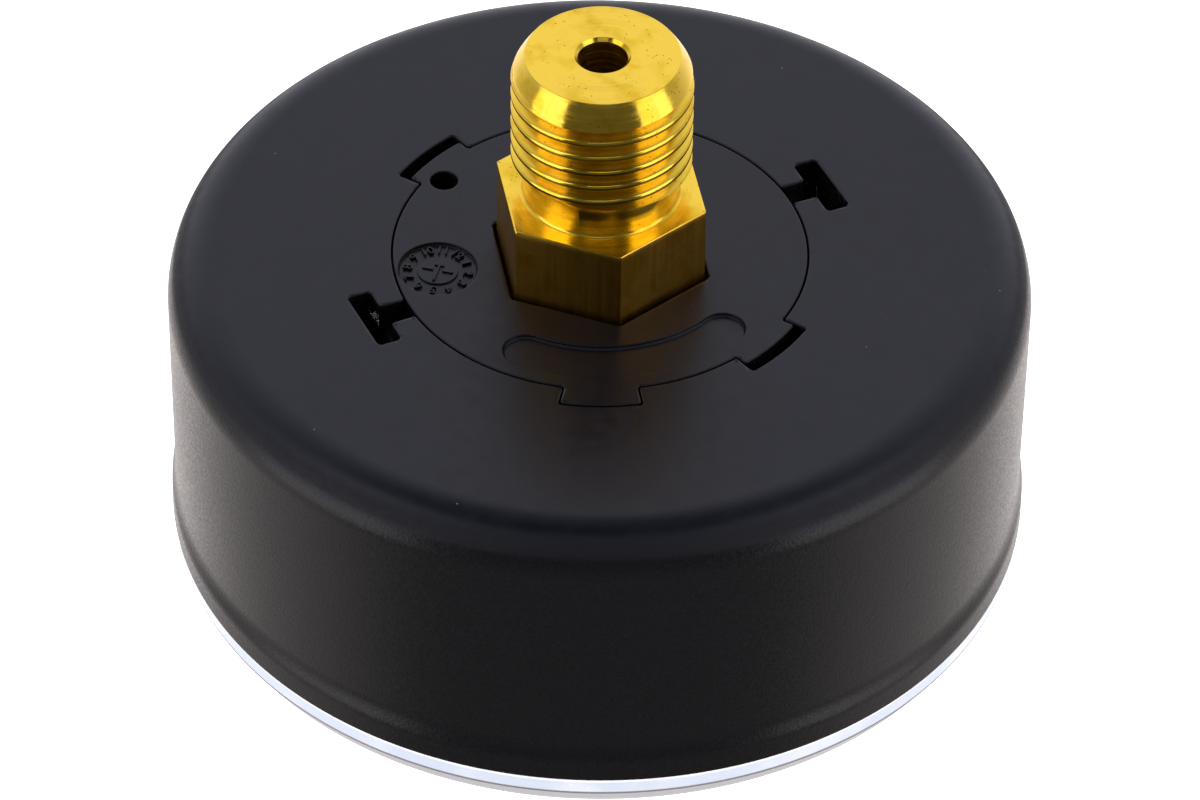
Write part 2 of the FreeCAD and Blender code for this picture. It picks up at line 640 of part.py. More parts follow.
def make_pillars():
    """Four turned pillars between the plates, each with a tapped hole in its front end."""
    pillars = []
    for i, place in enumerate(PILLARS):
        post = cylinder("Pillar%d" % i, "pillar_radius", FRONT_TOP,
                        "back_plate_low - (%s)" % FRONT_TOP, *movement_place(*place))
        tapped = cylinder("PillarTapping%d" % i, "plate_screw_radius",
                          "(%s) - overrun" % FRONT_TOP, "pillar_tapping + overrun",
                          *movement_place(*place))
        pillars.append(cut("PillarDrilled%d" % i, post, tapped))
    return group("movement_pillars", pillars)


def make_plate_screws():
    screws = []
    for i, place in enumerate(PILLARS):
        screws.append(screw("PlateScrew%d" % i, *movement_place(*place),
                            "front_plate_low - head_high", "plate_screw_head", "head_high",
                            "plate_screw_radius", "plate_screw_rise"))
    return group("plate_screws", screws)


def make_movement_screws():
    screws = []
    for i, side in enumerate(("", "-")):
        screws.append(screw("MovementScrew%d" % i, *movement_screw_place(side),
                            "back_plate_low - head_high", "movement_screw_head", "head_high",
                            "movement_screw_radius", "movement_screw_rise"))
    return group("movement_screws", screws)


def make_insert_screws():
    screws = []
    for i, side in enumerate(("", "-")):
        screws.append(screw("InsertScrew%d" % i, *insert_screw_place(side),
                            "block_low + sink_depth - insert_head_high", "insert_screw_head",
                            "insert_head_high", "insert_screw_radius", "insert_screw_rise"))
    return group("insert_screws", screws)


def radial_bar(sketch, inner, outer, half_inner, half_outer, angle):
    """Draws a tapered bar that runs outward from the origin at an angle."""
    across, along = "cos(%s * 1deg)" % angle, "sin(%s * 1deg)" % angle
    corners = []
    for radius, half in ((inner, "-" + half_inner), (outer, "-" + half_outer),
                         (outer, half_outer), (inner, half_inner)):
        corners.append(("(%s) * %s - (%s) * %s" % (radius, across, half, along),
                        "(%s) * %s + (%s) * %s" % (radius, along, half, across)))
    polygon(sketch, corners)


def repeat_around(body, feature, sketch, angle, count):
    """Repeats a tooth about the Z axis of its sketch."""
    pattern = body.newObject("PartDesign::PolarPattern", feature.Name + "Row")
    pattern.Originals = [feature]
    pattern.Axis = (sketch, ["N_Axis"])
    pattern.Angle = angle
    pattern.Occurrences = count
    body.Tip = pattern
    doc.recompute()
    return pattern


def make_sector():
    """Toothed sector with two spokes, a hub on the arbor and a tail for the link."""
    body = doc.addObject("PartDesign::Body", "SectorBody")
    top = "sector_low + sector_thick"
    hub = sketch_on(body, "SectorHub", "XZ_Plane")
    polygon(hub, [("arbor_radius", "sector_low"), ("sector_hub", "sector_low"),
                  ("sector_hub", top), ("arbor_radius", top)])
    revolve(body, hub)
    spoke = ("sector_rim + merge", "spoke_half", "spoke_half")
    bars = [("spoke", *spoke, "spoke_inset"),
            ("brace", *spoke, "(sector_span - spoke_inset)"),
            ("tail", "tail_reach", "tail_half", "tail_end_half", "(tail_turn - sector_turn)")]
    for name, outer, half_in, half_out, angle in bars:
        sketch = sketch_on(body, "Sector_" + name, "XY_Plane", "sector_low")
        radial_bar(sketch, "spoke_start", outer, half_in, half_out, angle)
        pad(body, sketch, "sector_thick")
        doc.recompute()
    rim = sketch_on(body, "SectorRim", "XZ_Plane")
    polygon(rim, [("sector_rim", "sector_low"), ("sector_root", "sector_low"),
                  ("sector_root", top), ("sector_rim", top)])
    revolve(body, rim, value("sector_span"))
    doc.recompute()
    tooth = sketch_on(body, "SectorTooth", "XY_Plane", "sector_low")
    radial_bar(tooth, "sector_root - merge", "sector_tip", "tooth_root_half", "tooth_tip_half",
               "tooth_step / 2")
    one_tooth = pad(body, tooth, "sector_thick")
    doc.recompute()
    teeth = int(value("sector_teeth"))
    repeat_around(body, one_tooth, tooth, value("tooth_step") * (teeth - 1), teeth)
    body.Placement = FreeCAD.Placement(
        Vector(value(SECTOR_AXIS[0]), value(SECTOR_AXIS[1]), 0),
        FreeCAD.Rotation(UP, value("sector_turn")))
    eye = cylinder("SectorEye", "eye_radius", "sector_low", "sector_thick", *TAIL_PIN)
    hole = cylinder("SectorEyeHole", "link_pin", "sector_low - overrun",
                    "sector_thick + 2 * overrun", *TAIL_PIN)
    return keep(cut("Sector", fuse("SectorSolid", body, eye), hole), "sector_gear")


def make_sector_arbor():
    """Steel arbor with a pivot at each end."""
    shoulder = ("%s + end_play" % FRONT_TOP, "back_plate_low - end_play")
    body = turned("SectorArbor", [
        ("0", "front_plate_low + pivot_inset"),
        ("pivot_radius", "front_plate_low + pivot_inset"),
        ("pivot_radius", shoulder[0]),
        ("arbor_radius", shoulder[0]),
        ("arbor_radius", shoulder[1]),
        ("pivot_radius", shoulder[1]),
        ("pivot_radius", "block_low - pivot_inset"),
        ("0", "block_low - pivot_inset"),
    ])
    body.Placement = FreeCAD.Placement(
        Vector(value(SECTOR_AXIS[0]), value(SECTOR_AXIS[1]), 0), FreeCAD.Rotation())
    return keep(body, "sector_arbor")


def make_pinion():
    """Pointer arbor in one piece with its twelve-tooth pinion."""
    body = doc.addObject("PartDesign::Body", "Pinion")
    outline = sketch_on(body, "PinionOutline", "XZ_Plane")
    pinion_top = "pinion_low + pinion_high"
    polygon(outline, [
        ("0", "shaft_front"),
        ("pointer_shaft", "shaft_front"),
        ("pointer_shaft", "arbor_front"),
        ("arbor_radius", "arbor_front"),
        ("arbor_radius", "pinion_low"),
        ("pinion_root", "pinion_low"),
        ("pinion_root", pinion_top),
        ("arbor_radius", pinion_top),
        ("arbor_radius", "back_plate_low - end_play"),
        ("pivot_radius", "back_plate_low - end_play"),
        ("pivot_radius", "block_low - pivot_inset"),
        ("0", "block_low - pivot_inset"),
    ])
    revolve(body, outline)
    doc.recompute()
    tooth = sketch_on(body, "PinionTooth", "XY_Plane", "pinion_low")
    radial_bar(tooth, "pinion_root / 2", "pinion_tip", "pinion_root_half", "pinion_tip_half",
               "pinion_turn")
    one_tooth = pad(body, tooth, "pinion_high")
    doc.recompute()
    repeat_around(body, one_tooth, tooth, 360, int(value("pinion_teeth")))
    return keep(body, "pointer_arbor")


def make_link():
    """Flat link with an eye at each end; the eye at the tube's tip has the larger play."""
    tail = Vector(value(TAIL_PIN[0]), value(TAIL_PIN[1]), 0)
    tip = Vector(value(TIP_PIN[0]), value(TIP_PIN[1]), 0)
    length = "%g" % (tip - tail).Length
    strap = box("LinkStrap", ("0", "-link_half", "link_low"),
                (length, "2 * link_half", "link_thick"))
    ends = []
    holes = []
    for i, (place, play) in enumerate((("0", "tail_play"), (length, "tip_play"))):
        ends.append(cylinder("LinkEye%d" % i, "eye_radius", "link_low", "link_thick", place))
        holes.append(cylinder("LinkHole%d" % i, "link_pin + " + play, "link_low - overrun",
                              "link_thick + 2 * overrun", place))
    link = cut("Link", fuse("LinkSolid", strap, *ends), fuse("LinkHoles", *holes))
    direction = math.degrees(math.atan2(tip.y - tail.y, tip.x - tail.x))
    link.Placement = FreeCAD.Placement(tail, FreeCAD.Rotation(UP, direction))
    return keep(link, "link")


def make_link_pin(label, place, top):
    """Rivet through one eye of the link, with a thin head in front of it."""
    head_low = "link_low - link_gap - rivet_head_high"
    shank_low = "link_low - link_gap - rivet_head_high / 2"
    head = cylinder(label + "_head", "rivet_head", head_low, "rivet_head_high", *place)
    shank = cylinder(label + "_shank", "link_pin", shank_low, "%s - (%s)" % (top, shank_low),
                     *place)
    return keep(fuse(label + "_rivet", head, shank), label)


def spiral_edge(offset, height):
    """Half circles with growing radius that follow the hairspring at a side offset."""
    step = value("spring_step")
    edges = []
    radius = value("spring_start") + value("spring_thick") / 2 + offset
    start = Vector(radius, 0, height)
    side = 1
    for _ in range(int(value("spring_half_turns"))):
        radius += step / 4
        middle = Vector(start.x - side * radius, 0, height)
        top = middle + Vector(0, side * radius, 0)
        end = middle - Vector(side * radius, 0, 0)
        edges.append(Part.Arc(start, top, end).toShape())
        start = end
        side = -side
        radius += step / 4
    return edges, start


def make_hairspring():
    """Flat spiral of rectangular wire, set by its own arcs, from collet to stud."""
    height = value("spring_low")
    half = value("spring_thick") / 2
    outer, outer_end = spiral_edge(half, height)
    inner, inner_end = spiral_edge(-half, height)
    first_outer = outer[0].Vertexes[0].Point
    first_inner = inner[0].Vertexes[0].Point
    closing = [Part.makeLine(first_outer, first_inner), Part.makeLine(outer_end, inner_end)]
    wire = Part.Wire(Part.__sortEdges__(outer + inner + closing))
    spring = doc.addObject("Part::Feature", "Hairspring")
    spring.Shape = Part.Face(wire).extrude(Vector(0, 0, value("spring_high")))
    return keep(turn(spring, value("spring_turn")), "hairspring")


def make_collet_and_stud():
    """Brass collet on the arbor and the stud that anchors the hairspring's outer end."""
    blank = cylinder("ColletBlank", "collet_radius", "collet_low", "collet_high")
    bore = cylinder("ColletBore", "arbor_radius", "collet_low - overrun",
                    "collet_high + 2 * overrun")
    keep(cut("Collet", blank, bore), "hairspring_collet")
    reach = "spring_start + spring_thick + spring_step * spring_half_turns / 2 + stud_radius"
    place = polar("(%s)" % reach, "spring_turn")
    return keep(cylinder("Stud", "stud_radius", "spring_low - stud_drop",
                         "back_plate_low - spring_low + stud_drop", *place), "hairspring_stud")


# ---------------------------------------------------------------- dial and pointer

def make_dial():
    blank = cylinder("DialBlank", "dial_radius", "dial_low", "dial_thick")
    through = ("dial_low - overrun", "dial_thick + 2 * overrun")
    holes = [cylinder("DialHole", "dial_hole", *through),
             cylinder("DialStopHole", "stop_radius", *through, *polar("stop_place", "stop_turn"))]
    for i, side in enumerate(("", "-")):
        holes.append(cylinder("DialScrewHole%d" % i, "dial_screw_radius + dial_screw_play",
                              *through, side + "post_place"))
    return keep(cut("Dial", blank, fuse("DialHoles", *holes)), "dial")


def make_dial_posts():
    """Two posts from the socket's block to the back of the dial, tapped in front."""
    low = "dial_low + dial_thick"
    posts = []
    for i, side in enumerate(("", "-")):
        post = cylinder("Post%d" % i, "post_radius", low, "block_low - (%s)" % low,
                        side + "post_place")
        spigot = cylinder("PostSpigot%d" % i, "dial_screw_radius", "block_low - merge",
                          "spigot_high + merge", side + "post_place")
        tapping = cylinder("PostTapping%d" % i, "dial_screw_radius", "(%s) - overrun" % low,
                           "dial_tapping + overrun", side + "post_place")
        posts.append(cut("PostDrilled%d" % i, fuse("PostSolid%d" % i, post, spigot), tapping))
    return group("dial_posts", posts)


def make_dial_screws():
    screws = []
    for i, side in enumerate(("", "-")):
        screws.append(screw("DialScrew%d" % i, side + "post_place", "0",
                            "dial_low - head_high", "dial_screw_head", "head_high",
                            "dial_screw_radius", "dial_screw_rise"))
    return group("dial_screws", screws)


def make_stop_pin():
    return keep(cylinder("StopPin", "stop_radius", "stop_front",
                         "dial_low + dial_thick - stop_front",
                         *polar("stop_place", "stop_turn")), "pointer_stop_pin")


def make_pointer():
    """Tapered blade with a wider tail, pierced for the hub."""
    body = doc.addObject("PartDesign::Body", "Pointer")
    sketch = sketch_on(body, "PointerOutline", "XY_Plane", "blade_low")
    polygon(sketch, [
        ("blade_reach", "-blade_tip_half"), ("blade_reach", "blade_tip_half"),
        ("blade_shoulder", "blade_half"), ("hub_radius", "blade_half"),
        ("0", "blade_wide_half"), ("-hub_radius", "blade_waist_half"),
        ("-blade_tail", "blade_wide_half"), ("-blade_tail", "-blade_wide_half"),
        ("-hub_radius", "-blade_waist_half"), ("0", "-blade_wide_half"),
        ("hub_radius", "-blade_half"), ("blade_shoulder", "-blade_half"),
    ])
    circle(sketch, "0", "0", "hub_neck")
    pad(body, sketch, "blade_thick")
    doc.recompute()
    return keep(turn(body, value("zero_turn")), "pointer")


def make_pointer_hub():
    """Cap in front of the blade, neck through it and collar behind it, on the shaft."""
    blade_top = "blade_low + blade_thick"
    hub_top = "hub_low + hub_high"
    return keep(turned("PointerHub", [
        ("0", "hub_low"),
        ("hub_radius - hub_chamfer", "hub_low"),
        ("hub_radius", "hub_low + hub_chamfer"),
        ("hub_radius", "blade_low"),
        ("hub_neck", "blade_low"),
        ("hub_neck", blade_top),
        ("hub_collar", blade_top),
        ("hub_collar_back", hub_top),
        ("pointer_shaft", hub_top),
        ("pointer_shaft", "shaft_front"),
        ("0", "shaft_front"),
    ]), "pointer_hub")


# ---------------------------------------------------------------- checks and files

def check_objects():
    """Stops if any object failed, or a sub-part has no valid solid."""
    for item in doc.Objects:
        for state in ("Invalid", "Error"):
            if state in item.State:
                raise RuntimeError("%s is %s" % (item.Label, state))
    for item in sub_parts:
        shape = item.Shape
        if shape.isNull() or not shape.isValid() or not shape.Solids:
            raise RuntimeError("%s has no valid solid" % item.Label)


def write_files():
    os.makedirs("parts", exist_ok=True)
    for item in sub_parts:
        item.Shape.exportStep("parts/%s.step" % item.Label)
        print("%-22s %2d solid(s) %10.3f mm3" % (
            item.Label, len(item.Shape.Solids), item.Shape.Volume))


make_case()
make_insert()
make_window()
make_socket()
make_bourdon_tube()
make_tube_tip()
make_movement_plates()
make_pillars()
make_plate_screws()
make_movement_screws()
make_insert_screws()
make_sector()
make_sector_arbor()
make_pinion()
make_link()
make_link_pin("tail_pin", TAIL_PIN, "sector_low + sector_thick")
make_link_pin("tip_pin", TIP_PIN, "link_low + link_thick + foot_gap + foot_thick")
make_hairspring()
make_collet_and_stud()
make_dial()
make_dial_posts()
make_dial_screws()
make_stop_pin()
make_pointer()
make_pointer_hub()
doc.recompute()
check_objects()
write_files()
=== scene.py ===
import json
import math

import bmesh
import bpy
from mathutils import Matrix, Vector

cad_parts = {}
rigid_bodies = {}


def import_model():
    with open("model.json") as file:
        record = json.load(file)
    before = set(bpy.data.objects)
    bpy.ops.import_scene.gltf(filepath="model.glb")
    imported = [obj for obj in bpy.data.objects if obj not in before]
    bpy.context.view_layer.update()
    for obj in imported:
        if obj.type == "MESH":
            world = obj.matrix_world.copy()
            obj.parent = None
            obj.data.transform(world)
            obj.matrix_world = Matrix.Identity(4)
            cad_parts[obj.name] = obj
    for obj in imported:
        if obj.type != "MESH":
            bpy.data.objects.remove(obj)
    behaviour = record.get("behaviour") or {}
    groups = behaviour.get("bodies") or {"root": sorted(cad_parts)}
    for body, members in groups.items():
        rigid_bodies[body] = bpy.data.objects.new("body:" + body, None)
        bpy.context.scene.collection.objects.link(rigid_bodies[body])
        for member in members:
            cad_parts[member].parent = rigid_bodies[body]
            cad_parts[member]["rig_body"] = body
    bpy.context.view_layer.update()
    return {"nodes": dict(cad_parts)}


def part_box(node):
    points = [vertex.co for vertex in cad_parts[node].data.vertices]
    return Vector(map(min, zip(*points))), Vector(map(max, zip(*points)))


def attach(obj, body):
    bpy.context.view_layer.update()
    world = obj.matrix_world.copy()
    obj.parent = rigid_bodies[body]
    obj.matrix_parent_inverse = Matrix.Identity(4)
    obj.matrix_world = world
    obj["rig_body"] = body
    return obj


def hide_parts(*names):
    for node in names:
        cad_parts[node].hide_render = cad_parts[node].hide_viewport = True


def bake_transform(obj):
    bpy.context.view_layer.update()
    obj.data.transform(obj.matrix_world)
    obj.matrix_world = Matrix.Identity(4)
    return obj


# Pressure gauge lying face down, seen from above its threaded stem.
# Lengths in this script are millimetres; new_piece turns them into metres.

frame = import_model()
scene = bpy.context.scene

MM = 0.001
ROUND_STEPS = 360


def node_top(name):
    """Highest z of a CAD node."""
    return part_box(name)[1].z / MM


def node_low(name):
    """Lowest z of a CAD node."""
    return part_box(name)[0].z / MM


def node_reach(name):
    """Largest x of a CAD node, which is the radius of a round one."""
    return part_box(name)[1].x / MM


# Case and insert
CASE_BACK = node_top("case")
LIP_FRONT = node_low("case")
LIP_RADIUS = node_reach("case")
SIDE_RADIUS = LIP_RADIUS - 0.15
WAIST_RADIUS = LIP_RADIUS - 0.3
LIP_BACK = LIP_FRONT + 1.9
FLARE_BACK = LIP_FRONT + 3.0
BACK_ROUND = 3.5
BACK_WALL = 2.2
CASE_BORE = 29.6
FLAT_JOIN = 22.0
SEAT_RADIUS = 15.25
NOTCH_RADIUS = 17.1
NOTCH_HALF = 10.3
SHORT_TAB = 16.15
LONG_TAB = 16.95
TAB_HALF = 9.9
TAB_TURNS = {80: LONG_TAB, 130: SHORT_TAB, 260: LONG_TAB, 310: SHORT_TAB}
SLOT_TURNS = (15, 195)
SLOT_NECK_HALF = 3.5
SLOT = [(17.15, -0.98), (17.15, -2.85), (18.9, -2.85), (18.9, 2.85), (17.15, 2.85), (17.15, 0.98)]
INSERT_LOW = node_low("rear_insert")
INSERT_RADIUS = 15.13
FLANGE_TOP = 23.8
FLANGE_RADIUS = 17.0
MARK_DEPTH = 0.3
LABEL_INNER, LABEL_OUTER, LABEL_HALF = 10.6, 13.9, 36.0
DATE_PLACE, DATE_RADIUS = 12.0, 2.9
VENT_PLACE, VENT_RADIUS, VENT_TURN = 13.95, 1.03, 135.5

# Socket
HEX_TOP = 32.17
HEX_HALF = 7.0
HEX_TURN = 30
NECK_RADIUS, NECK_TOP, NECK_CONE = 5.7, 35.1, 0.6
THREAD_RADIUS, THREAD_PITCH, THREAD_DEPTH = 6.5785, 1.337, 0.8
CREST_FLAT, ROOT_FLAT = 0.32, 0.18
THREAD_START, THREAD_TURN = 33.37, 71.4
STEM_TOP = node_top("socket")
LEAD_IN, LEAD_IN_HIGH = 1.0, 1.9
THREAD_FADE, THREAD_FADE_HIGH = 42.65, 0.35
INLET_RADIUS, INLET_CHAMFER = 1.8, 0.25
BLOCK_LOW, BLOCK_TOP = 14.0, 22.0

# Dial, pointer and window
DIAL_FRONT = node_low("dial")
DIAL_THICK = 0.5
DIAL_RADIUS = node_reach("dial")
DIAL_ZERO, DIAL_SWEEP = 135.0, 270.0
RIM_RADIUS, RIM_LOW = 31.6, 1.5
LENS_RADIUS, LENS_THICK = 30.7, 1.8
SPIGOT_OUTER, SPIGOT_INNER, SPIGOT_TOP = 29.5, 28.4, node_top("window")


# ---------------------------------------------------------------- outlines

def polar(radius, angle):
    """Point at a radius and an angle in degrees."""
    turn = math.radians(angle)
    return (radius * math.cos(turn), radius * math.sin(turn))


def arc(radius, start, end, step=2.0, centre=(0.0, 0.0)):
    """Points along an arc, both ends included."""
    count = max(1, math.ceil(abs(end - start) / step))
    points = []
    for i in range(count + 1):
        x, y = polar(radius, start + (end - start) * i / count)
        points.append((centre[0] + x, centre[1] + y))
    return points


def rounded(corners, closed=True, step=12.0, hold=0.12):
    """Points of an outline given as (x, y, radius); each radius turns its corner with an arc.

    A point just beyond each end of an arc keeps the flat sides flat when shaded smooth.
    """
    count = len(corners)
    points = []
    for i, (x, y, radius) in enumerate(corners):
        at_end = not closed and i in (0, count - 1)
        if radius <= 0 or at_end:
            points.append((x, y))
            continue
        here = Vector((x, y))
        back = Vector(corners[i - 1][:2]) - here
        ahead = Vector(corners[(i + 1) % count][:2]) - here
        half = back.angle(ahead) / 2
        reach = min(radius / math.tan(half), 0.45 * back.length, 0.45 * ahead.length)
        radius = reach * math.tan(half)
        start = here + back.normalized() * reach
        end = here + ahead.normalized() * reach
        middle = (back.normalized() + ahead.normalized()).normalized()
        centre = here + middle * (radius / math.sin(half))
        sweep = (start - centre).angle_signed(end - centre)
        pieces = max(2, math.ceil(abs(math.degrees(sweep)) / step))
        spare = min(hold, 0.04 * back.length, 0.04 * ahead.length)
        points.append(tuple(start + back.normalized() * spare))
        for k in range(pieces + 1):
            spoke = (start - centre).copy()
            spoke.rotate(Matrix.Rotation(-sweep * k / pieces, 2))
            points.append(tuple(centre + spoke))
        points.append(tuple(end + ahead.normalized() * spare))
    return points


def offset(outline, distance):
    """Moves a closed outline sideways, to its left where the distance is positive."""
    count = len(outline)
    moved = []
    for i in range(count):
        here = Vector(outline[i])
        before = (here - Vector(outline[i - 1])).normalized()
        after = (Vector(outline[(i + 1) % count]) - here).normalized()
        normal = Vector((-before.y - after.y, before.x + after.x)).normalized()
        side = Vector((-before.y, before.x))
        moved.append(tuple(here + normal * distance / max(0.4, normal.dot(side))))
    return moved


def soft_corners(outline, radius, limit=25.0):
    """Rounds only the corners of a fine outline that turn by more than the limit."""
    corners = []
    count = len(outline)
    for i, point in enumerate(outline):
        back = Vector(point) - Vector(outline[i - 1])
        ahead = Vector(outline[(i + 1) % count]) - Vector(point)
        sharp = math.degrees(back.angle(ahead)) > limit
        corners.append((point[0], point[1], radius if sharp else 0.0))
    return rounded(corners, step=20.0, hold=0.0)


# ---------------------------------------------------------------- mesh helpers

def new_piece(name, mesh_data, body, materials, stands_for=(), crease=32.0):
    """Turns a bmesh in millimetres into a piece that rides on a body."""
    bmesh.ops.remove_doubles(mesh_data, verts=mesh_data.verts, dist=1e-4)
    bmesh.ops.dissolve_degenerate(mesh_data, edges=mesh_data.edges, dist=1e-5)
    bmesh.ops.recalc_face_normals(mesh_data, faces=mesh_data.faces)
    bmesh.ops.scale(mesh_data, vec=(MM, MM, MM), verts=mesh_data.verts)
    mesh = bpy.data.meshes.new(name)
    mesh_data.to_mesh(mesh)
    mesh_data.free()
    mesh.shade_smooth()
    mesh.set_sharp_from_angle(angle=math.radians(crease))
    for material in materials:
        mesh.materials.append(material)
    piece = bpy.data.objects.new(name, mesh)
    scene.collection.objects.link(piece)
    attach(piece, body)
    if stands_for:
        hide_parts(*stands_for)
    return piece


def bridge(mesh_data, first, second, closed=True):
    """Quads between two rows of the same number of vertices."""
    count = len(first)
    for i in range(count if closed else count - 1):
        ahead = (i + 1) % count
        corners = []
        for vertex in (first[i], first[ahead], second[ahead], second[i]):
            if vertex not in corners:
                corners.append(vertex)
        if len(corners) > 2:
            mesh_data.faces.new(corners)


def loop(mesh_data, outline, height):
    """New vertices along an outline, all at one height."""
    return [mesh_data.verts.new((x, y, height)) for x, y in outline]


def fill(mesh_data, *loops):
    """Fills the flat area between closed loops."""
    edges = []
    for vertices in loops:
        for i, vertex in enumerate(vertices):
            other = vertices[(i + 1) % len(vertices)]
            edges.append(mesh_data.edges.get((vertex, other)) or
                         mesh_data.edges.new((vertex, other)))
    bmesh.ops.triangle_fill(mesh_data, use_beauty=True, edges=edges)


def lathe(mesh_data, outline, closed=True, steps=ROUND_STEPS):
    """Turns an outline of (radius, height) about Z and returns its rows of vertices."""
    rows = []
    for radius, height in outline:
        if radius < 1e-6:
            rows.append([mesh_data.verts.new((0, 0, height))] * steps)
            continue
        ring = [polar(radius, 360.0 * i / steps) for i in range(steps)]
        rows.append(loop(mesh_data, ring, height))
    for i in range(len(rows) if closed else len(rows) - 1):
        bridge(mesh_data, rows[i], rows[(i + 1) % len(rows)])
    return rows


def edge_rows(mesh_data, outline, wall, face, edge, side):
    """A rounded edge from a wall height to a face height; side +1 grows to the left.

    Returns the first row, on the wall, and the last row, on the face.
    """
    rise = math.copysign(edge, face - wall)
    rows = [loop(mesh_data, outline, wall)]
    for k in range(4):
        turn = math.radians(30 * k)
        inward = edge * (1 - math.cos(turn))
        height = face - rise + rise * math.sin(turn)
        rows.append(loop(mesh_data, offset(outline, side * inward), height))
    rows.append(loop(mesh_data, offset(outline, side * (edge + 0.04)), face))
    for first, second in zip(rows, rows[1:]):
        bridge(mesh_data, first, second)
    return rows[0], rows[-1]


def slab(mesh_data, outline, holes, low, high, edge=0.1):
    """A plate with rounded edges; the outline runs anticlockwise, the holes clockwise."""
    tops, bottoms = [], []
    middle = (low + high) / 2
    for ring in [outline] + list(holes):
        upper, top = edge_rows(mesh_data, ring, middle, high, edge, 1)
        lower, bottom = edge_rows(mesh_data, ring, middle, low, edge, 1)
        bridge(mesh_data, upper, lower)
        tops.append(top)
        bottoms.append(bottom)
    fill(mesh_data, *tops)
    fill(mesh_data, *bottoms)


def round_hole(x, y, radius, step=10.0):
    """Clockwise outline of a hole."""
    return arc(radius, 360.0, step, step, (x, y))


# ---------------------------------------------------------------- materials

class Finish:
    """A material with one principled shader and short calls to add nodes to it."""

    def __init__(self, name, colour, roughness, metallic=0.0, **sockets):
        self.material = bpy.data.materials.new(name)
        self.material.use_nodes = True
        self.tree = self.material.node_tree
        self.shader = self.tree.nodes["Principled BSDF"]
        self.put("Base Color", (*colour, 1.0))
        self.put("Roughness", roughness)
        self.put("Metallic", metallic)
        for socket, amount in sockets.items():
            self.put(socket.replace("_", " "), amount)
        place = self.tree.nodes.new("ShaderNodeTexCoord")
        self.place = place.outputs["Object"]
        self.normal = place.outputs["Normal"]

    def put(self, socket, amount):
        """Sets a constant on one of the shader's own sockets."""
        self.shader.inputs[socket].default_value = amount

    def join(self, source, socket):
        """Links an output to a socket."""
        self.tree.links.new(source, socket)

    def calc(self, operation, first, second=0.0, third=0.0):
        """One step of arithmetic on numbers or node outputs."""
        node = self.tree.nodes.new("ShaderNodeMath")
        node.operation = operation
        for socket, amount in zip(node.inputs, (first, second, third)):
            if isinstance(amount, (int, float)):
                socket.default_value = amount
            else:
                self.join(amount, socket)
        return node.outputs[0]

    def noise(self, size, detail=3.0, place=None, rough=0.5):
        """Noise whose features are about as many millimetres wide as size says."""
        node = self.tree.nodes.new("ShaderNodeTexNoise")
        node.inputs["Scale"].default_value = 1.0 / (size * MM)
        node.inputs["Detail"].default_value = detail
        node.inputs["Roughness"].default_value = rough
        self.join(place or self.place, node.inputs["Vector"])
        return node.outputs["Fac"]

    def spots(self, size):
        """Distance to the nearest of many scattered points, in cells of that size."""
        node = self.tree.nodes.new("ShaderNodeTexVoronoi")
        node.inputs["Scale"].default_value = 1.0 / (size * MM)
        self.join(self.place, node.inputs["Vector"])
        return node.outputs["Distance"]

    def turned(self, squeeze=1.0):
        """Coordinates that change only with radius and height, for marks left by a lathe."""
        parts = self.tree.nodes.new("ShaderNodeSeparateXYZ")
        self.join(self.place, parts.inputs[0])
        x, y, z = parts.outputs
        radius = self.calc("SQRT", self.calc("ADD", self.calc("MULTIPLY", x, x),
                                             self.calc("MULTIPLY", y, y)))
        node = self.tree.nodes.new("ShaderNodeCombineXYZ")
        self.join(radius, node.inputs[0])
        self.join(self.calc("MULTIPLY", z, squeeze), node.inputs[2])
        return node.outputs[0]

    def stretched(self, x, y, z):
        """Object coordinates scaled along each axis, for drawn or brushed marks."""
        node = self.tree.nodes.new("ShaderNodeVectorMath")
        node.operation = "MULTIPLY"
        node.inputs[1].default_value = (x, y, z)
        self.join(self.place, node.inputs[0])
        return node.outputs[0]

    def level(self, source, low, high, at_low, at_high):
        """Maps a range of a value to another range, clamped and eased."""
        node = self.tree.nodes.new("ShaderNodeMapRange")
        node.interpolation_type = "SMOOTHSTEP"
        for index, amount in enumerate((low, high, at_low, at_high), start=1):
            node.inputs[index].default_value = amount
        self.join(source, node.inputs[0])
        return node.outputs[0]

    def tint(self, factor, first, second):
        """Mixes two colours, each a tuple or a node output."""
        node = self.tree.nodes.new("ShaderNodeMix")
        node.data_type = "RGBA"
        for socket, colour in ((node.inputs[6], first), (node.inputs[7], second)):
            if isinstance(colour, tuple):
                socket.default_value = (*colour, 1.0)
            else:
                self.join(colour, socket)
        self.join(factor, node.inputs[0])
        return node.outputs[2]

    def colour(self, source):
        """Takes the base colour from an output."""
        self.join(source, self.shader.inputs["Base Color"])

    def rough(self, source):
        """Takes the roughness from an output."""
        self.join(source, self.shader.inputs["Roughness"])

    def bump(self, *layers):
        """Adds surface relief from (height, depth in millimetres) pairs."""
        normal = None
        for height, depth in layers:
            node = self.tree.nodes.new("ShaderNodeBump")
            node.inputs["Strength"].default_value = 1.0
            node.inputs["Distance"].default_value = depth * MM
            self.join(height, node.inputs["Height"])
            if normal:
                self.join(normal, node.inputs["Normal"])
            normal = node.outputs["Normal"]
        self.join(normal, self.shader.inputs["Normal"])


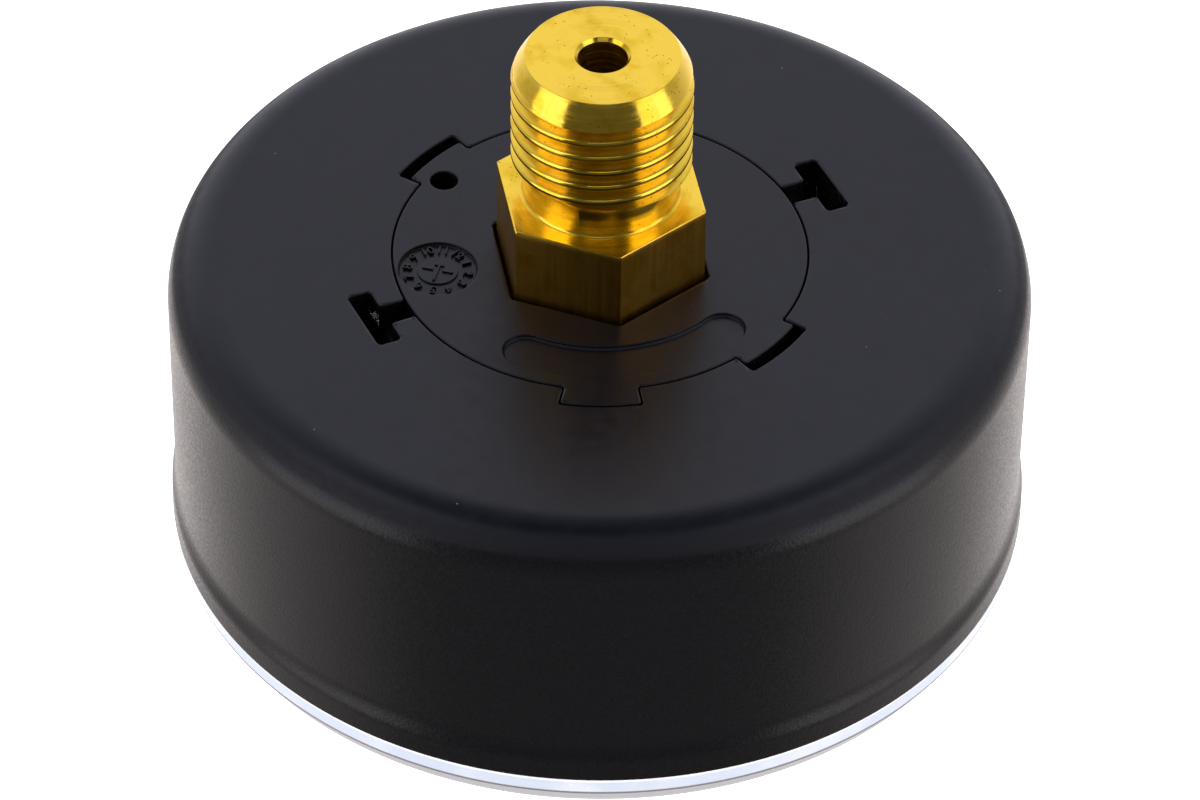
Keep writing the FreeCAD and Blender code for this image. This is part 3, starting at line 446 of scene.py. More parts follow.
def black_plastic(name):
    """Moulded black ABS: spark-eroded grain on the side, satin on the back, stray dust; the back
    is painted bluer and lighter than the side as painted light.
    """
    finish = Finish(name, (0.004, 0.004, 0.005), 0.4, Specular_IOR_Level=0.32)
    parts = finish.tree.nodes.new("ShaderNodeSeparateXYZ")
    finish.join(finish.normal, parts.inputs[0])
    facing = finish.level(parts.outputs[2], 0.3, 0.97, 0.0, 1.0)
    dust = finish.calc("MULTIPLY", finish.level(finish.spots(2.6), 0.01, 0.03, 1.0, 0.0),
                       finish.level(finish.noise(8.0), 0.5, 0.6, 0.0, 0.6))
    side = finish.tint(finish.noise(0.3), (0.002, 0.002, 0.003), (0.006, 0.0055, 0.006))
    # Painted light: the face looking up is coloured bluer and a little lighter than the side, for
    # the cool light it catches.
    back = finish.tint(finish.noise(6.0), (0.002, 0.0025, 0.006), (0.004, 0.005, 0.011))
    finish.colour(finish.tint(dust, finish.tint(facing, side, back), (0.4, 0.39, 0.37)))
    grain = finish.noise(0.22, 4.0)
    rough_side = finish.level(grain, 0.3, 0.7, 0.2, 0.34)
    rough_back = finish.level(finish.noise(1.2), 0.3, 0.7, 0.3, 0.38)
    blend = finish.tree.nodes.new("ShaderNodeMix")
    finish.join(facing, blend.inputs[0])
    finish.join(rough_side, blend.inputs[2])
    finish.join(rough_back, blend.inputs[3])
    rounding = finish.calc("MULTIPLY", finish.level(facing, 0.0, 0.3, 0.0, 0.3),
                           finish.level(facing, 0.6, 1.0, 1.0, 0.0))
    finish.rough(finish.calc("ADD", blend.outputs[0], rounding))
    depth = finish.calc("MULTIPLY", grain, finish.level(facing, 0.0, 1.0, 1.0, 0.15))
    finish.bump((finish.noise(7.0, 2.0), 0.02), (depth, 0.02))
    return finish.material


def brass(name, tone=1.0, roughness=0.14, marks="turned", green=0.64, grain=0.0):
    """Machined brass with tool marks, faint tarnish and small dark specks.

    Grain stretches the reflections across the circular marks the lathe leaves.
    """
    bright = (0.95 * tone, green * tone, 0.065 * tone)
    dull = (0.78 * tone, 0.75 * green * tone, 0.02 * tone)
    finish = Finish(name, bright, roughness, 1.0, Anisotropic=grain, Anisotropic_Rotation=0.25)
    if marks == "turned":
        lines = finish.noise(0.05, 2.0, finish.turned())
        broad = finish.noise(0.35, 2.0, finish.turned())
    else:
        lines = finish.noise(0.06, 2.0, finish.stretched(1.0, 1.0, 0.01))
        broad = finish.noise(0.2, 3.0, finish.stretched(1.0, 1.0, 0.02))
    tarnish = finish.level(finish.noise(2.2, 4.0), 0.48, 0.68, 0.0, 0.8)
    specks = finish.calc("MULTIPLY", finish.level(finish.spots(0.42), 0.1, 0.19, 1.0, 0.0),
                         finish.level(finish.noise(1.8), 0.5, 0.58, 0.0, 0.8))
    finish.colour(finish.tint(specks, finish.tint(tarnish, bright, dull),
                              (0.3 * tone, 0.15 * tone, 0.01 * tone)))
    spread = 0.35 if marks == "turned" else 0.12
    finish.rough(finish.level(broad, 0.3, 0.7, roughness * (1 - spread), roughness * (1 + spread)))
    finish.bump((broad, 0.0015 if marks == "turned" else 0.0002),
                (lines, 0.0014 if marks == "turned" else 0.0001))
    return finish.material


def clear_plastic(name):
    """Clear polycarbonate with the faintest cool tint and a few hairline scratches."""
    finish = Finish(name, (0.95, 0.975, 1.0), 0.03, IOR=1.58, Transmission_Weight=1.0)
    scratch = finish.noise(0.12, 2.0, finish.stretched(1.0, 0.03, 1.0))
    finish.rough(finish.level(scratch, 0.6, 0.8, 0.01, 0.06))
    finish.bump((finish.noise(9.0, 1.0), 0.006))
    return finish.material


def window_rim(name):
    """Edge of the moulded window: an opaque stand-in for clear plastic seen edge on, coloured with
    painted light and shade.

    The pale bluish body and the near-white band at the top are painted light for the light the
    clear plastic carries; the grey band of the lens and the dark line under the flange are painted
    shade, coloured by height, not refracted.
    """
    finish = Finish(name, (0.9, 0.94, 1.0), 0.2, IOR=1.58)
    parts = finish.tree.nodes.new("ShaderNodeSeparateXYZ")
    finish.join(finish.place, parts.inputs[0])
    height = parts.outputs[2]
    # Painted light: the pale bluish body, varied in broad patches, stands in for light carried
    # through clear plastic.
    rim_light_patches = finish.level(finish.noise(6.0, 2.0), 0.4, 0.6, 0.0, 1.0)
    body = finish.tint(rim_light_patches, (0.62, 0.67, 0.77), (0.74, 0.76, 0.82))
    # Painted shade: below about 1.6 mm the lens band is grey.
    lens = finish.tint(finish.level(height, 0.0016, 0.0017, 0.0, 1.0), (0.46, 0.45, 0.46), body)
    # Painted shade: a dark line from about 1.55 to 1.85 mm, under the flange.
    line = finish.level(height, 0.0018, 0.0019, 1.0, 0.0)
    lower = finish.calc("MULTIPLY", line, finish.level(height, 0.0015, 0.0016, 0.0, 1.0))
    shaded = finish.tint(lower, lens, (0.2, 0.18, 0.18))
    # Painted light: above about 2.8 mm the top band is near white.
    finish.colour(finish.tint(finish.level(height, 0.0027, 0.0029, 0.0, 1.0), shaded,
                              (0.98, 0.98, 0.98)))
    finish.rough(finish.level(finish.noise(0.4), 0.3, 0.7, 0.12, 0.28))
    finish.bump((finish.noise(2.5, 2.0), 0.004))
    return finish.material


def steel(name, roughness=0.25, colour=(0.62, 0.61, 0.6)):
    """Turned steel with lathe marks."""
    finish = Finish(name, colour, roughness, 1.0)
    lines = finish.noise(0.06, 2.0, finish.turned())
    finish.rough(finish.level(lines, 0.3, 0.7, roughness * 0.8, roughness * 1.3))
    finish.colour(finish.tint(finish.level(finish.noise(1.5), 0.4, 0.7, 0.0, 0.6), colour,
                              tuple(part * 0.75 for part in colour)))
    finish.bump((lines, 0.001))
    return finish.material


def paint(name, colour, roughness, grain=0.15):
    """Stoved paint with a fine orange peel."""
    finish = Finish(name, colour, roughness)
    patches = finish.level(finish.noise(4.0), 0.35, 0.7, 0.0, 1.0)
    finish.colour(finish.tint(patches, colour, tuple(part * 0.93 for part in colour)))
    finish.rough(finish.level(finish.noise(grain), 0.3, 0.7, roughness * 0.85, roughness * 1.15))
    finish.bump((finish.noise(grain), 0.002))
    return finish.material


CASE_PLASTIC = black_plastic("case_plastic")
INSERT_PLASTIC = black_plastic("insert_plastic")
TURNED_BRASS = brass("turned_brass", 1.0, 0.2, grain=0.8)
# Painted shade: the hexagon's flats get a darker, more orange copy of the stem's brass, for the
# dark surroundings they face.
SHADED_HEX_BRASS = brass("hexagon_brass_shaded", 0.68, 0.32, "drawn", green=0.5)
PLATE_BRASS = brass("plate_brass", 0.85, 0.3, "drawn")
TUBE_BRONZE = brass("tube_bronze", 0.7, 0.28, "turned")
SPRING_BRONZE = brass("spring_bronze", 0.8, 0.2, "turned")
ARBOR_STEEL = steel("arbor_steel", 0.2)
SCREW_STEEL = steel("screw_steel", 0.3, (0.55, 0.56, 0.57))
CLEAR_PLASTIC = clear_plastic("clear_polycarbonate")
RIM_PLASTIC = window_rim("window_rim")
DIAL_WHITE = paint("dial_white", (0.86, 0.86, 0.84), 0.5)
PRINT_BLACK = paint("print_black", (0.015, 0.015, 0.016), 0.45)
POINTER_BLACK = paint("pointer_black", (0.012, 0.012, 0.013), 0.35)


# ---------------------------------------------------------------- case

def case_opening():
    """Clockwise outline of the hole in the back: round seat, notches and T slots."""
    features = [(turn, "slot") for turn in SLOT_TURNS] + [(turn, "notch") for turn in TAB_TURNS]
    outline = []
    position = 0.0
    for turn, kind in sorted(features):
        half = SLOT_NECK_HALF if kind == "slot" else NOTCH_HALF
        outline += arc(SEAT_RADIUS, position, turn - half)
        if kind == "notch":
            outline += arc(NOTCH_RADIUS, turn - half, turn + half)
        else:
            spin = Matrix.Rotation(math.radians(turn), 2)
            outline += [tuple(spin @ Vector(point)) for point in SLOT]
        position = turn + half
    outline += arc(SEAT_RADIUS, position, 358.0)
    outline = soft_corners(outline, 0.3)
    outline.reverse()
    return outline


def make_case():
    """Cup with a flared lip, grained side and the pierced back."""
    data = bmesh.new()
    wall_inside = CASE_BACK - BACK_WALL
    rows = lathe(data, rounded([
        (FLAT_JOIN, CASE_BACK, 0),
        (SIDE_RADIUS, CASE_BACK, BACK_ROUND),
        (WAIST_RADIUS, FLARE_BACK, 4.0),
        (LIP_RADIUS, LIP_BACK, 2.0),
        (LIP_RADIUS, LIP_FRONT, 0.15),
        (CASE_BORE, LIP_FRONT, 0.1),
        (CASE_BORE, wall_inside, 0.5),
        (FLAT_JOIN, wall_inside, 0),
    ], closed=False, step=6.0), closed=False)
    opening = case_opening()
    upper, top = edge_rows(data, opening, CASE_BACK - 0.6, CASE_BACK, 0.12, 1)
    lower, under = edge_rows(data, opening, CASE_BACK - 0.8, wall_inside, 0.12, 1)
    bridge(data, upper, lower)
    fill(data, top, rows[0])
    fill(data, under, rows[-1])
    return new_piece("case_shell", data, "housing", [CASE_PLASTIC], ["case"])


def make_case_hooks():
    """Two catches under the T slots that hold the insert's flange."""
    data = bmesh.new()
    for turn in SLOT_TURNS:
        for inner, outer, low, high in ((16.2, 20.6, 19.9, 21.95), (19.0, 20.5, 21.8, 24.0)):
            outline = arc(outer, turn - 7.5, turn + 7.5) + arc(inner, turn + 7.5, turn - 7.5)
            slab(data, soft_corners(outline, 0.2), [], low, high, 0.12)
    return new_piece("case_hooks", data, "housing", [CASE_PLASTIC])


# ---------------------------------------------------------------- insert

def insert_outline():
    """Anticlockwise outline of the insert with its four tabs."""
    outline = []
    position = 0.0
    for turn, reach in sorted(TAB_TURNS.items()):
        outline += arc(INSERT_RADIUS, position, turn - TAB_HALF)
        outline += arc(reach, turn - TAB_HALF, turn + TAB_HALF)
        position = turn + TAB_HALF
    outline += arc(INSERT_RADIUS, position, 358.0)
    return soft_corners(outline, 0.25)


def hex_outline(half_flats, radius):
    """Anticlockwise hexagon with corners of a radius."""
    corners = [(*polar(half_flats / math.cos(math.radians(30)), HEX_TURN + 60 * i), radius)
               for i in range(6)]
    return rounded(corners, step=20.0, hold=0.0)


def recess(data, outline, depth, edge=0.08):
    """A shallow recess in the back face; returns the loop at its mouth.

    The outline runs clockwise, so that its left is outside the recess.
    """
    floor = CASE_BACK - depth
    upper, top = edge_rows(data, outline, floor + depth * 0.45, CASE_BACK, edge, 1)
    inner = loop(data, offset(outline, -0.12), floor)
    bridge(data, upper, inner)
    return inner, top


def label_outline():
    """Clockwise outline of the curved recess with round ends."""
    middle = (LABEL_INNER + LABEL_OUTER) / 2
    half = (LABEL_OUTER - LABEL_INNER) / 2
    left, right = 270 - LABEL_HALF, 270 + LABEL_HALF
    outline = arc(LABEL_OUTER, left, right)
    outline += arc(half, right, right + 180, 12.0, polar(middle, right))[1:-1]
    outline += arc(LABEL_INNER, right, left)
    outline += arc(half, left + 180, left + 360, 12.0, polar(middle, left))[1:-1]
    outline.reverse()
    return outline


def make_insert():
    """Disc that closes the back: tabs, recesses, vent and the hole for the hexagon."""
    data = bmesh.new()
    outer = insert_outline()
    upper, top = edge_rows(data, outer, CASE_BACK - 0.8, CASE_BACK, 0.1, 1)
    flange = arc(FLANGE_RADIUS, 0, 358)
    neck = loop(data, outer, FLANGE_TOP)
    bridge(data, upper, neck)
    ring_top = loop(data, flange, FLANGE_TOP)
    ring_wall, ring_low = edge_rows(data, flange, FLANGE_TOP - 0.2, INSERT_LOW, 0.12, 1)
    bridge(data, ring_top, ring_wall)
    fill(data, neck, ring_top)
    mouths = []
    for outline, depth in ((label_outline(), MARK_DEPTH),
                           (round_hole(-DATE_PLACE, 0, DATE_RADIUS, 5.0), MARK_DEPTH)):
        floor, mouth = recess(data, outline, depth)
        fill(data, floor)
        mouths.append(mouth)
    vent = round_hole(*polar(VENT_PLACE, VENT_TURN), VENT_RADIUS)
    hole_low = []
    wall, mouth = edge_rows(data, vent, CASE_BACK - 0.6, CASE_BACK, 0.1, 1)
    mouths.append(mouth)
    wall_low, mouth_low = edge_rows(data, vent, CASE_BACK - 0.8, INSERT_LOW, 0.1, 1)
    hole_low.append(mouth_low)
    bridge(data, wall, wall_low)
    hexagon = hex_outline(HEX_HALF + 0.3, 0.3)
    hexagon.reverse()
    wall, mouth = edge_rows(data, hexagon, CASE_BACK - 0.6, CASE_BACK, 0.12, 1)
    mouths.append(mouth)
    wall_low, mouth_low = edge_rows(data, hexagon, CASE_BACK - 0.8, INSERT_LOW, 0.12, 1)
    hole_low.append(mouth_low)
    bridge(data, wall, wall_low)
    fill(data, top, *mouths)
    fill(data, ring_low, *hole_low)
    return new_piece("rear_insert_disc", data, "housing", [INSERT_PLASTIC],
                     ["rear_insert"])


# ---------------------------------------------------------------- text

def flat_text(name, words, size, thick, body, material):
    """Lettering as a thin raised mesh; words are (text, x, y, z, turn, from_below)."""
    data = bmesh.new()
    for text, x, y, z, turn, from_below in words:
        curve = bpy.data.curves.new(name + "_type", "FONT")
        curve.body = text
        curve.size = size
        curve.extrude = thick / 2
        curve.resolution_u = 4
        curve.align_x = "CENTER"
        curve.align_y = "CENTER"
        holder = bpy.data.objects.new(name + "_type", curve)
        scene.collection.objects.link(holder)
        bpy.context.view_layer.update()
        mesh = bpy.data.meshes.new_from_object(
            holder.evaluated_get(bpy.context.evaluated_depsgraph_get()))
        flip = Matrix.Rotation(math.pi, 4, "X") if from_below else Matrix.Identity(4)
        place = Matrix.Translation((x, y, z)) @ Matrix.Rotation(math.radians(turn), 4, "Z")
        mesh.transform(place @ flip)
        data.from_mesh(mesh)
        bpy.data.meshes.remove(mesh)
        bpy.data.objects.remove(holder)
        bpy.data.curves.remove(curve)
    return new_piece(name, data, body, [material])


def make_date_wheel():
    """Ring of month numbers round a small disc with an arrow; no year and no mark."""
    floor = CASE_BACK - MARK_DEPTH
    centre = Vector((-DATE_PLACE, 0))
    data = bmesh.new()
    disc = arc(1.5, 0, 350, 10.0, centre)
    slab(data, disc, [], floor - 0.05, floor + 0.12, 0.05)
    shaft = [(-0.09, -1.2), (0.09, -1.2), (0.09, 0.45), (0.36, 0.45), (0.0, 1.15),
             (-0.36, 0.45), (-0.09, 0.45)]
    bar = [(-1.15, -0.12), (-0.35, -0.12), (-0.35, 0.1), (-1.15, 0.1)]
    aim = math.radians(-25)
    for shape in (shaft, bar, [(-x, y) for x, y in reversed(bar)]):
        outline = []
        for x, y in shape:
            outline.append((centre.x + x * math.cos(aim) - y * math.sin(aim),
                            centre.y + x * math.sin(aim) + y * math.cos(aim)))
        slab(data, outline, [], floor, floor + 0.24, 0.02)
    new_piece("date_wheel_disc", data, "housing", [INSERT_PLASTIC])
    words = []
    for month in range(1, 13):
        turn = 41 - 30 * month
        x, y = polar(2.2, turn)
        words.append((str(month), centre.x + x, centre.y + y, floor + 0.1, turn - 90, False))
    flat_text("date_wheel_numbers", words, 1.05, 0.22, "housing",
              INSERT_PLASTIC)


# ---------------------------------------------------------------- socket

def thread_profile():
    """One pitch of the thread as (distance from groove centre, radius) points."""
    root = THREAD_RADIUS - THREAD_DEPTH
    half_root = ROOT_FLAT / 2
    half_gap = (THREAD_PITCH - CREST_FLAT) / 2
    corners = [
        (0, root, 0),
        (half_root, root, 0.1),
        (half_gap, THREAD_RADIUS, 0.04),
        (THREAD_PITCH - half_gap, THREAD_RADIUS, 0.2),
        (THREAD_PITCH - half_root, root, 0.1),
        (THREAD_PITCH, root, 0),
    ]
    return rounded(corners, closed=False, step=20.0, hold=0.02)


def profile_radius(profile, distance):
    """Radius of the thread at a distance along one pitch."""
    distance %= THREAD_PITCH
    ends = profile[1:] + [(THREAD_PITCH, profile[0][1])]
    for (d0, r0), (d1, r1) in zip(profile, ends):
        if d0 <= distance <= d1 and d1 > d0:
            return r0 + (r1 - r0) * (distance - d0) / (d1 - d0)
    return profile[0][1]


def lead_in_radius(height):
    """Radius of the slightly crowned lead-in; wider than the thread below it."""
    risen = 1 - (STEM_TOP - height) / LEAD_IN_HIGH
    if risen < 0:
        return THREAD_RADIUS + 1.0
    return THREAD_RADIUS - LEAD_IN * risen ** 1.4


def make_thread_surface(data, top):
    """Helical thread as columns of vertices; returns its lowest and highest rows.

    Column 360 lies on column 0, one pitch further on, and the two are merged later.
    """
    profile = thread_profile()[:-1]
    lowest = NECK_TOP - (NECK_TOP - THREAD_START + THREAD_PITCH * THREAD_TURN / 360) % THREAD_PITCH
    turns = math.ceil((STEM_TOP - NECK_TOP) / THREAD_PITCH) + 1
    columns = []
    for i in range(ROUND_STEPS + 1):
        base = lowest + THREAD_PITCH * i / ROUND_STEPS
        column = []
        for turn in range(-1, turns):
            for distance, radius in profile:
                wanted = base + turn * THREAD_PITCH + distance
                height = min(max(wanted, NECK_TOP), top)
                if height != wanted:
                    radius = profile_radius(profile, height - base)
                cone = lead_in_radius(height)
                fade = min(1.0, max(0.0, (height - THREAD_FADE) / THREAD_FADE_HIGH))
                radius = min(radius, cone) * (1 - fade) + cone * fade
                place = polar(radius, 360.0 * i / ROUND_STEPS)
                column.append(data.verts.new((*place, height)))
        columns.append(column)
    for first, second in zip(columns, columns[1:]):
        bridge(data, first, second, closed=False)
    return [column[0] for column in columns[:-1]], [column[-1] for column in columns[:-1]]


def make_stem():
    """Hexagon, neck, helical thread and inlet bore as one turned brass piece."""
    data = bmesh.new()
    thread_top = STEM_TOP - 0.12
    thread_low, thread_high = make_thread_surface(data, thread_top)
    neck = lathe(data, rounded([
        (NECK_RADIUS, NECK_TOP - NECK_CONE, 0),
        (NECK_RADIUS, HEX_TOP, 0.25),
        (NECK_RADIUS + 0.9, HEX_TOP, 0),
    ], closed=False, step=10.0), closed=False)
    bridge(data, thread_low, neck[0])
    face_radius = lead_in_radius(thread_top)
    end_face = lathe(data, rounded([
        (face_radius, thread_top, 0),
        (face_radius - 0.08, STEM_TOP, 0.1),
        (INLET_RADIUS + INLET_CHAMFER, STEM_TOP, 0.04),
        (INLET_RADIUS, STEM_TOP - INLET_CHAMFER, 0.04),
        (INLET_RADIUS, BLOCK_TOP, 0),
    ], closed=False, step=15.0), closed=False)
    bridge(data, thread_high, end_face[0])
    hexagon = hex_outline(HEX_HALF, 0.2)
    upper, top = edge_rows(data, hexagon, HEX_TOP - 0.5, HEX_TOP, 0.08, 1)
    fill(data, neck[-1], top)
    lower = loop(data, hexagon, BLOCK_TOP)
    bridge(data, upper, lower)
    fill(data, lower, end_face[-1])
    piece = new_piece("socket_stem", data, "housing",
                      [TURNED_BRASS, SHADED_HEX_BRASS], ["socket"])
    # The hexagon's flats take the darker copy of the brass, which is painted shade.
    for face in piece.data.polygons:
        level_side = abs(face.normal.z) < 0.3 and face.center.z < (HEX_TOP - 0.05) * MM
        outside = face.center.xy.length > NECK_RADIUS * MM
        face.material_index = 1 if level_side and outside else 0
    return piece


def make_socket_block():
    """Block behind the hexagon with its screw holes, and the arm that carries the tube."""
    data = bmesh.new()
    holes = [round_hole(0, 0, INLET_RADIUS)]
    for side in (1, -1):
        holes.append(round_hole(9.3 * side, 4.8 * side, 1.0))
        holes.append(round_hole(11.0 * side, 0, 0.9))
        turn = math.radians(45)
        along, across = 3.4, 4.7 * side
        holes.append(round_hole(along * math.cos(turn) - across * math.sin(turn),
                                along * math.sin(turn) + across * math.cos(turn), 0.7))
    body = rounded([(-12.6, -7.5, 0.6), (12.6, -7.5, 0.6), (12.6, 7.5, 0.6), (-12.6, 7.5, 0.6)])
    slab(data, body, holes, BLOCK_LOW, BLOCK_TOP, 0.25)
    arm = rounded([(-7, 7.4, 0.3), (4, 7.4, 0.3), (4, 22.3, 0.3), (-7, 22.3, 0.3)])
    slab(data, arm, [], BLOCK_LOW, 19.2, 0.25)
    heel = rounded([(-6.9, 17.3, 0.3), (3.9, 17.3, 0.3), (3.9, 22.6, 0.5), (-6.9, 22.6, 0.5)])
    slab(data, heel, [], 9.9, 19.0, 0.25)
    return new_piece("socket_block", data, "housing", [SHADED_HEX_BRASS])


# ---------------------------------------------------------------- window

def make_window():
    """Clear lens with a stepped rim and a spigot that snaps into the case."""
    data = bmesh.new()
    lathe(data, rounded([
        (0, 0, 0),
        (LENS_RADIUS, 0, 0.35),
        (LENS_RADIUS, RIM_LOW, 0.12),
        (RIM_RADIUS, RIM_LOW, 0.25),
        (RIM_RADIUS, LIP_FRONT, 0.08),
        (SPIGOT_OUTER, LIP_FRONT, 0.05),
        (SPIGOT_OUTER, SPIGOT_TOP, 0.15),
        (SPIGOT_INNER, SPIGOT_TOP, 0.15),
        (SPIGOT_INNER, LENS_THICK, 0.3),
        (0, LENS_THICK, 0),
    ], closed=False, step=15.0), closed=False)
    piece = new_piece("window_lens", data, "housing",
                      [CLEAR_PLASTIC, RIM_PLASTIC], ["window"])
    # The rim's faces take the opaque rim material, coloured with painted light and shade, instead
    # of the clear plastic.
    for face in piece.data.polygons:
        if face.center.xy.length > (LENS_RADIUS - 0.6) * MM:
            face.material_index = 1


# ---------------------------------------------------------------- dial and pointer

def make_dial():
    """White disc with a rolled edge, holes for screws and the arbor."""
    data = bmesh.new()
    holes = [round_hole(0, 0, 1.5), round_hole(11.0, 0, 1.0), round_hole(-11.0, 0, 1.0)]
    slab(data, arc(DIAL_RADIUS, 0, 358), holes, DIAL_FRONT, DIAL_FRONT + DIAL_THICK, 0.1)
    new_piece("dial_plate", data, "housing", [DIAL_WHITE], ["dial"])


def make_dial_print():
    """Scale from 0 to 10 in raised ink: an arc, fifty divisions and plain numbers."""
    data = bmesh.new()
    ink = 0.03
    low, high = DIAL_FRONT - ink, DIAL_FRONT + 0.02
    band = arc(25.6, DIAL_ZERO, DIAL_ZERO + DIAL_SWEEP) + arc(
        25.35, DIAL_ZERO + DIAL_SWEEP, DIAL_ZERO)
    slab(data, band, [], low, high, 0.005)
    divisions = 50
    for i in range(divisions + 1):
        turn = DIAL_ZERO + DIAL_SWEEP * i / divisions
        if i % 5:
            inner, half = 24.1, 0.12
        elif i % 10:
            inner, half = 23.2, 0.2
        else:
            inner, half = 22.4, 0.3
        corners = [(inner, -half), (25.4, -half), (25.4, half), (inner, half)]
        cosine, sine = math.cos(math.radians(turn)), math.sin(math.radians(turn))
        slab(data, [(x * cosine - y * sine, x * sine + y * cosine) for x, y in corners], [],
             low, high, 0.005)
    new_piece("dial_scale", data, "housing", [PRINT_BLACK])
    words = []
    for number in range(0, 11, 2):
        turn = DIAL_ZERO + DIAL_SWEEP * number / 10
        words.append((str(number), *polar(19.6, turn), DIAL_FRONT - ink / 2, 0, True))
    flat_text("dial_numbers", words, 4.4, ink, "housing", PRINT_BLACK)
    unit = [("bar", 0, -10.5, DIAL_FRONT - ink / 2, 0, True)]
    flat_text("dial_unit", unit, 3.2, ink, "housing", PRINT_BLACK)


def make_pointer():
    """Tapered blade with a wider tail, on a turned hub."""
    data = bmesh.new()
    low = node_low("pointer")
    blade = rounded([
        (21.5, -0.16, 0.12), (21.5, 0.16, 0.12), (15.5, 0.62, 0.5), (2.2, 0.62, 0.4),
        (0, 1.5, 0.6), (-2.2, 0.8, 0.4), (-8.5, 1.5, 0.4), (-8.5, -1.5, 0.4),
        (-2.2, -0.8, 0.4), (0, -1.5, 0.6), (2.2, -0.62, 0.4), (15.5, -0.62, 0.5),
    ], hold=0.0)
    turn = Matrix.Rotation(math.radians(DIAL_ZERO), 2)
    blade = [tuple(turn @ Vector(point)) for point in blade]
    slab(data, blade, [], low, low + 0.3, 0.05)
    new_piece("pointer_blade", data, "pointer", [POINTER_BLACK], ["pointer"])
    hub = bmesh.new()
    base = node_low("pointer_hub")
    lathe(hub, rounded([
        (0, base, 0), (2.2, base, 0.3), (2.2, base + 0.55, 0.08), (1.45, base + 0.9, 0.1),
        (1.2, base + 1.75, 0.08), (0.6, base + 1.75, 0.03), (0.6, base + 0.25, 0),
        (0, base + 0.25, 0),
    ], closed=False), closed=False, steps=96)
    new_piece("pointer_hub_cap", hub, "pointer", [POINTER_BLACK],
              ["pointer_hub"])


# ---------------------------------------------------------------- tube and hairspring


def make_tube():
    """Flattened bronze tube, taken off its body; nothing makes it uncurl or swing."""
    data = bmesh.new()
    radius, middle, half_thick, half_high = 19.5, 14.4, 1.3, 3.6
    section = rounded([
        (radius - half_thick, middle - half_high, half_thick * 0.98),
        (radius + half_thick, middle - half_high, half_thick * 0.98),
        (radius + half_thick, middle + half_high, half_thick * 0.98),
        (radius - half_thick, middle + half_high, half_thick * 0.98),
    ])
    start, sweep, steps = 95.0, 265.0, 180
    rows = []
    for i in range(steps + 1):
        turn = start + sweep * i / steps
        rows.append([data.verts.new((*polar(r, turn), h)) for r, h in section])
    for first, second in zip(rows, rows[1:]):
        bridge(data, first, second)
    data.faces.new(rows[0])
    data.faces.new(rows[-1])
    piece = new_piece("bourdon_tube_bent", data, "housing", [TUBE_BRONZE],
                      ["bourdon_tube"])
    release(piece)
    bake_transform(piece)
    for vertex in piece.data.vertices:
        turn = math.degrees(math.atan2(vertex.co.y, vertex.co.x)) % 360
        if turn < 90:
            turn = 360.0


def release(piece):
    """Takes a finished mesh off its body."""
    piece.parent = None
    piece.matrix_world = Matrix.Identity(4)
    del piece["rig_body"]


def make_hairspring():
    """Spiral wire, taken off its body; nothing makes its inner end turn with the arbor."""
    data = bmesh.new()
    low = node_low("hairspring")
    half, high, start_radius, step = 0.06, 0.5, 1.25, 0.52
    total, count, turned_by = 6.0, 540, 225.0
    section = rounded([(-half, 0, 0.03), (half, 0, 0.03), (half, high, 0.03),
                       (-half, high, 0.03)], hold=0.0)
    rows = []
    for i in range(count + 1):
        share = i / count
        radius = start_radius + half + step * total * share
        turn = turned_by + 360.0 * total * share
        rows.append([data.verts.new((*polar(radius + x, turn), low + z)) for x, z in section])
    for first, second in zip(rows, rows[1:]):
        bridge(data, first, second)
    data.faces.new(rows[0])
    data.faces.new(rows[-1])
    piece = new_piece("hairspring_wire", data, "housing", [SPRING_BRONZE],
                      ["hairspring"])
    release(piece)
    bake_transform(piece)


# ---------------------------------------------------------------- carried-over nodes

def finish_cad_nodes():
    """Gives the pieces that stay as the CAD made them their procedural finish."""
    finishes = {
        PLATE_BRASS: ("movement_back_plate", "movement_front_plate", "movement_pillars",
                      "sector_gear", "link", "tube_tip", "hairspring_collet",
                      "hairspring_stud", "dial_posts"),
        ARBOR_STEEL: ("sector_arbor", "pointer_arbor", "tail_pin", "tip_pin",
                      "pointer_stop_pin"),
        SCREW_STEEL: ("plate_screws", "movement_screws", "insert_screws", "dial_screws"),
        CASE_PLASTIC: ("case",),
        INSERT_PLASTIC: ("rear_insert",),
        CLEAR_PLASTIC: ("window",),
        TURNED_BRASS: ("socket",),
        TUBE_BRONZE: ("bourdon_tube",),
        SPRING_BRONZE: ("hairspring",),
        DIAL_WHITE: ("dial",),
        POINTER_BLACK: ("pointer", "pointer_hub"),
    }
    for material, names in finishes.items():
        for name in names:
            for place in frame["nodes"][name].material_slots:
                place.material = material


# ---------------------------------------------------------------- studio

CAMERA_PLACE = Vector((-0.0755, -0.4009, 0.3740))
CAMERA_HEADING, CAMERA_DOWN, CAMERA_ROLL = 79.316, 41.625, 0.776
CAMERA_LENS = 220.4


def make_camera():
    """Camera fitted to the photograph: its place, aim, roll and lens."""
    data = bpy.data.cameras.new("camera")
    data.lens = CAMERA_LENS
    data.sensor_width = 36.0
    camera = bpy.data.objects.new("camera", data)
    scene.collection.objects.link(camera)
    aim = Vector((*polar(math.cos(math.radians(CAMERA_DOWN)), CAMERA_HEADING),
                  -math.sin(math.radians(CAMERA_DOWN))))
    roll = Matrix.Rotation(math.radians(CAMERA_ROLL), 4, "Z")
    camera.matrix_world = (Matrix.Translation(CAMERA_PLACE)
                           @ aim.to_track_quat("-Z", "Y").to_matrix().to_4x4() @ roll)
    scene.camera = camera


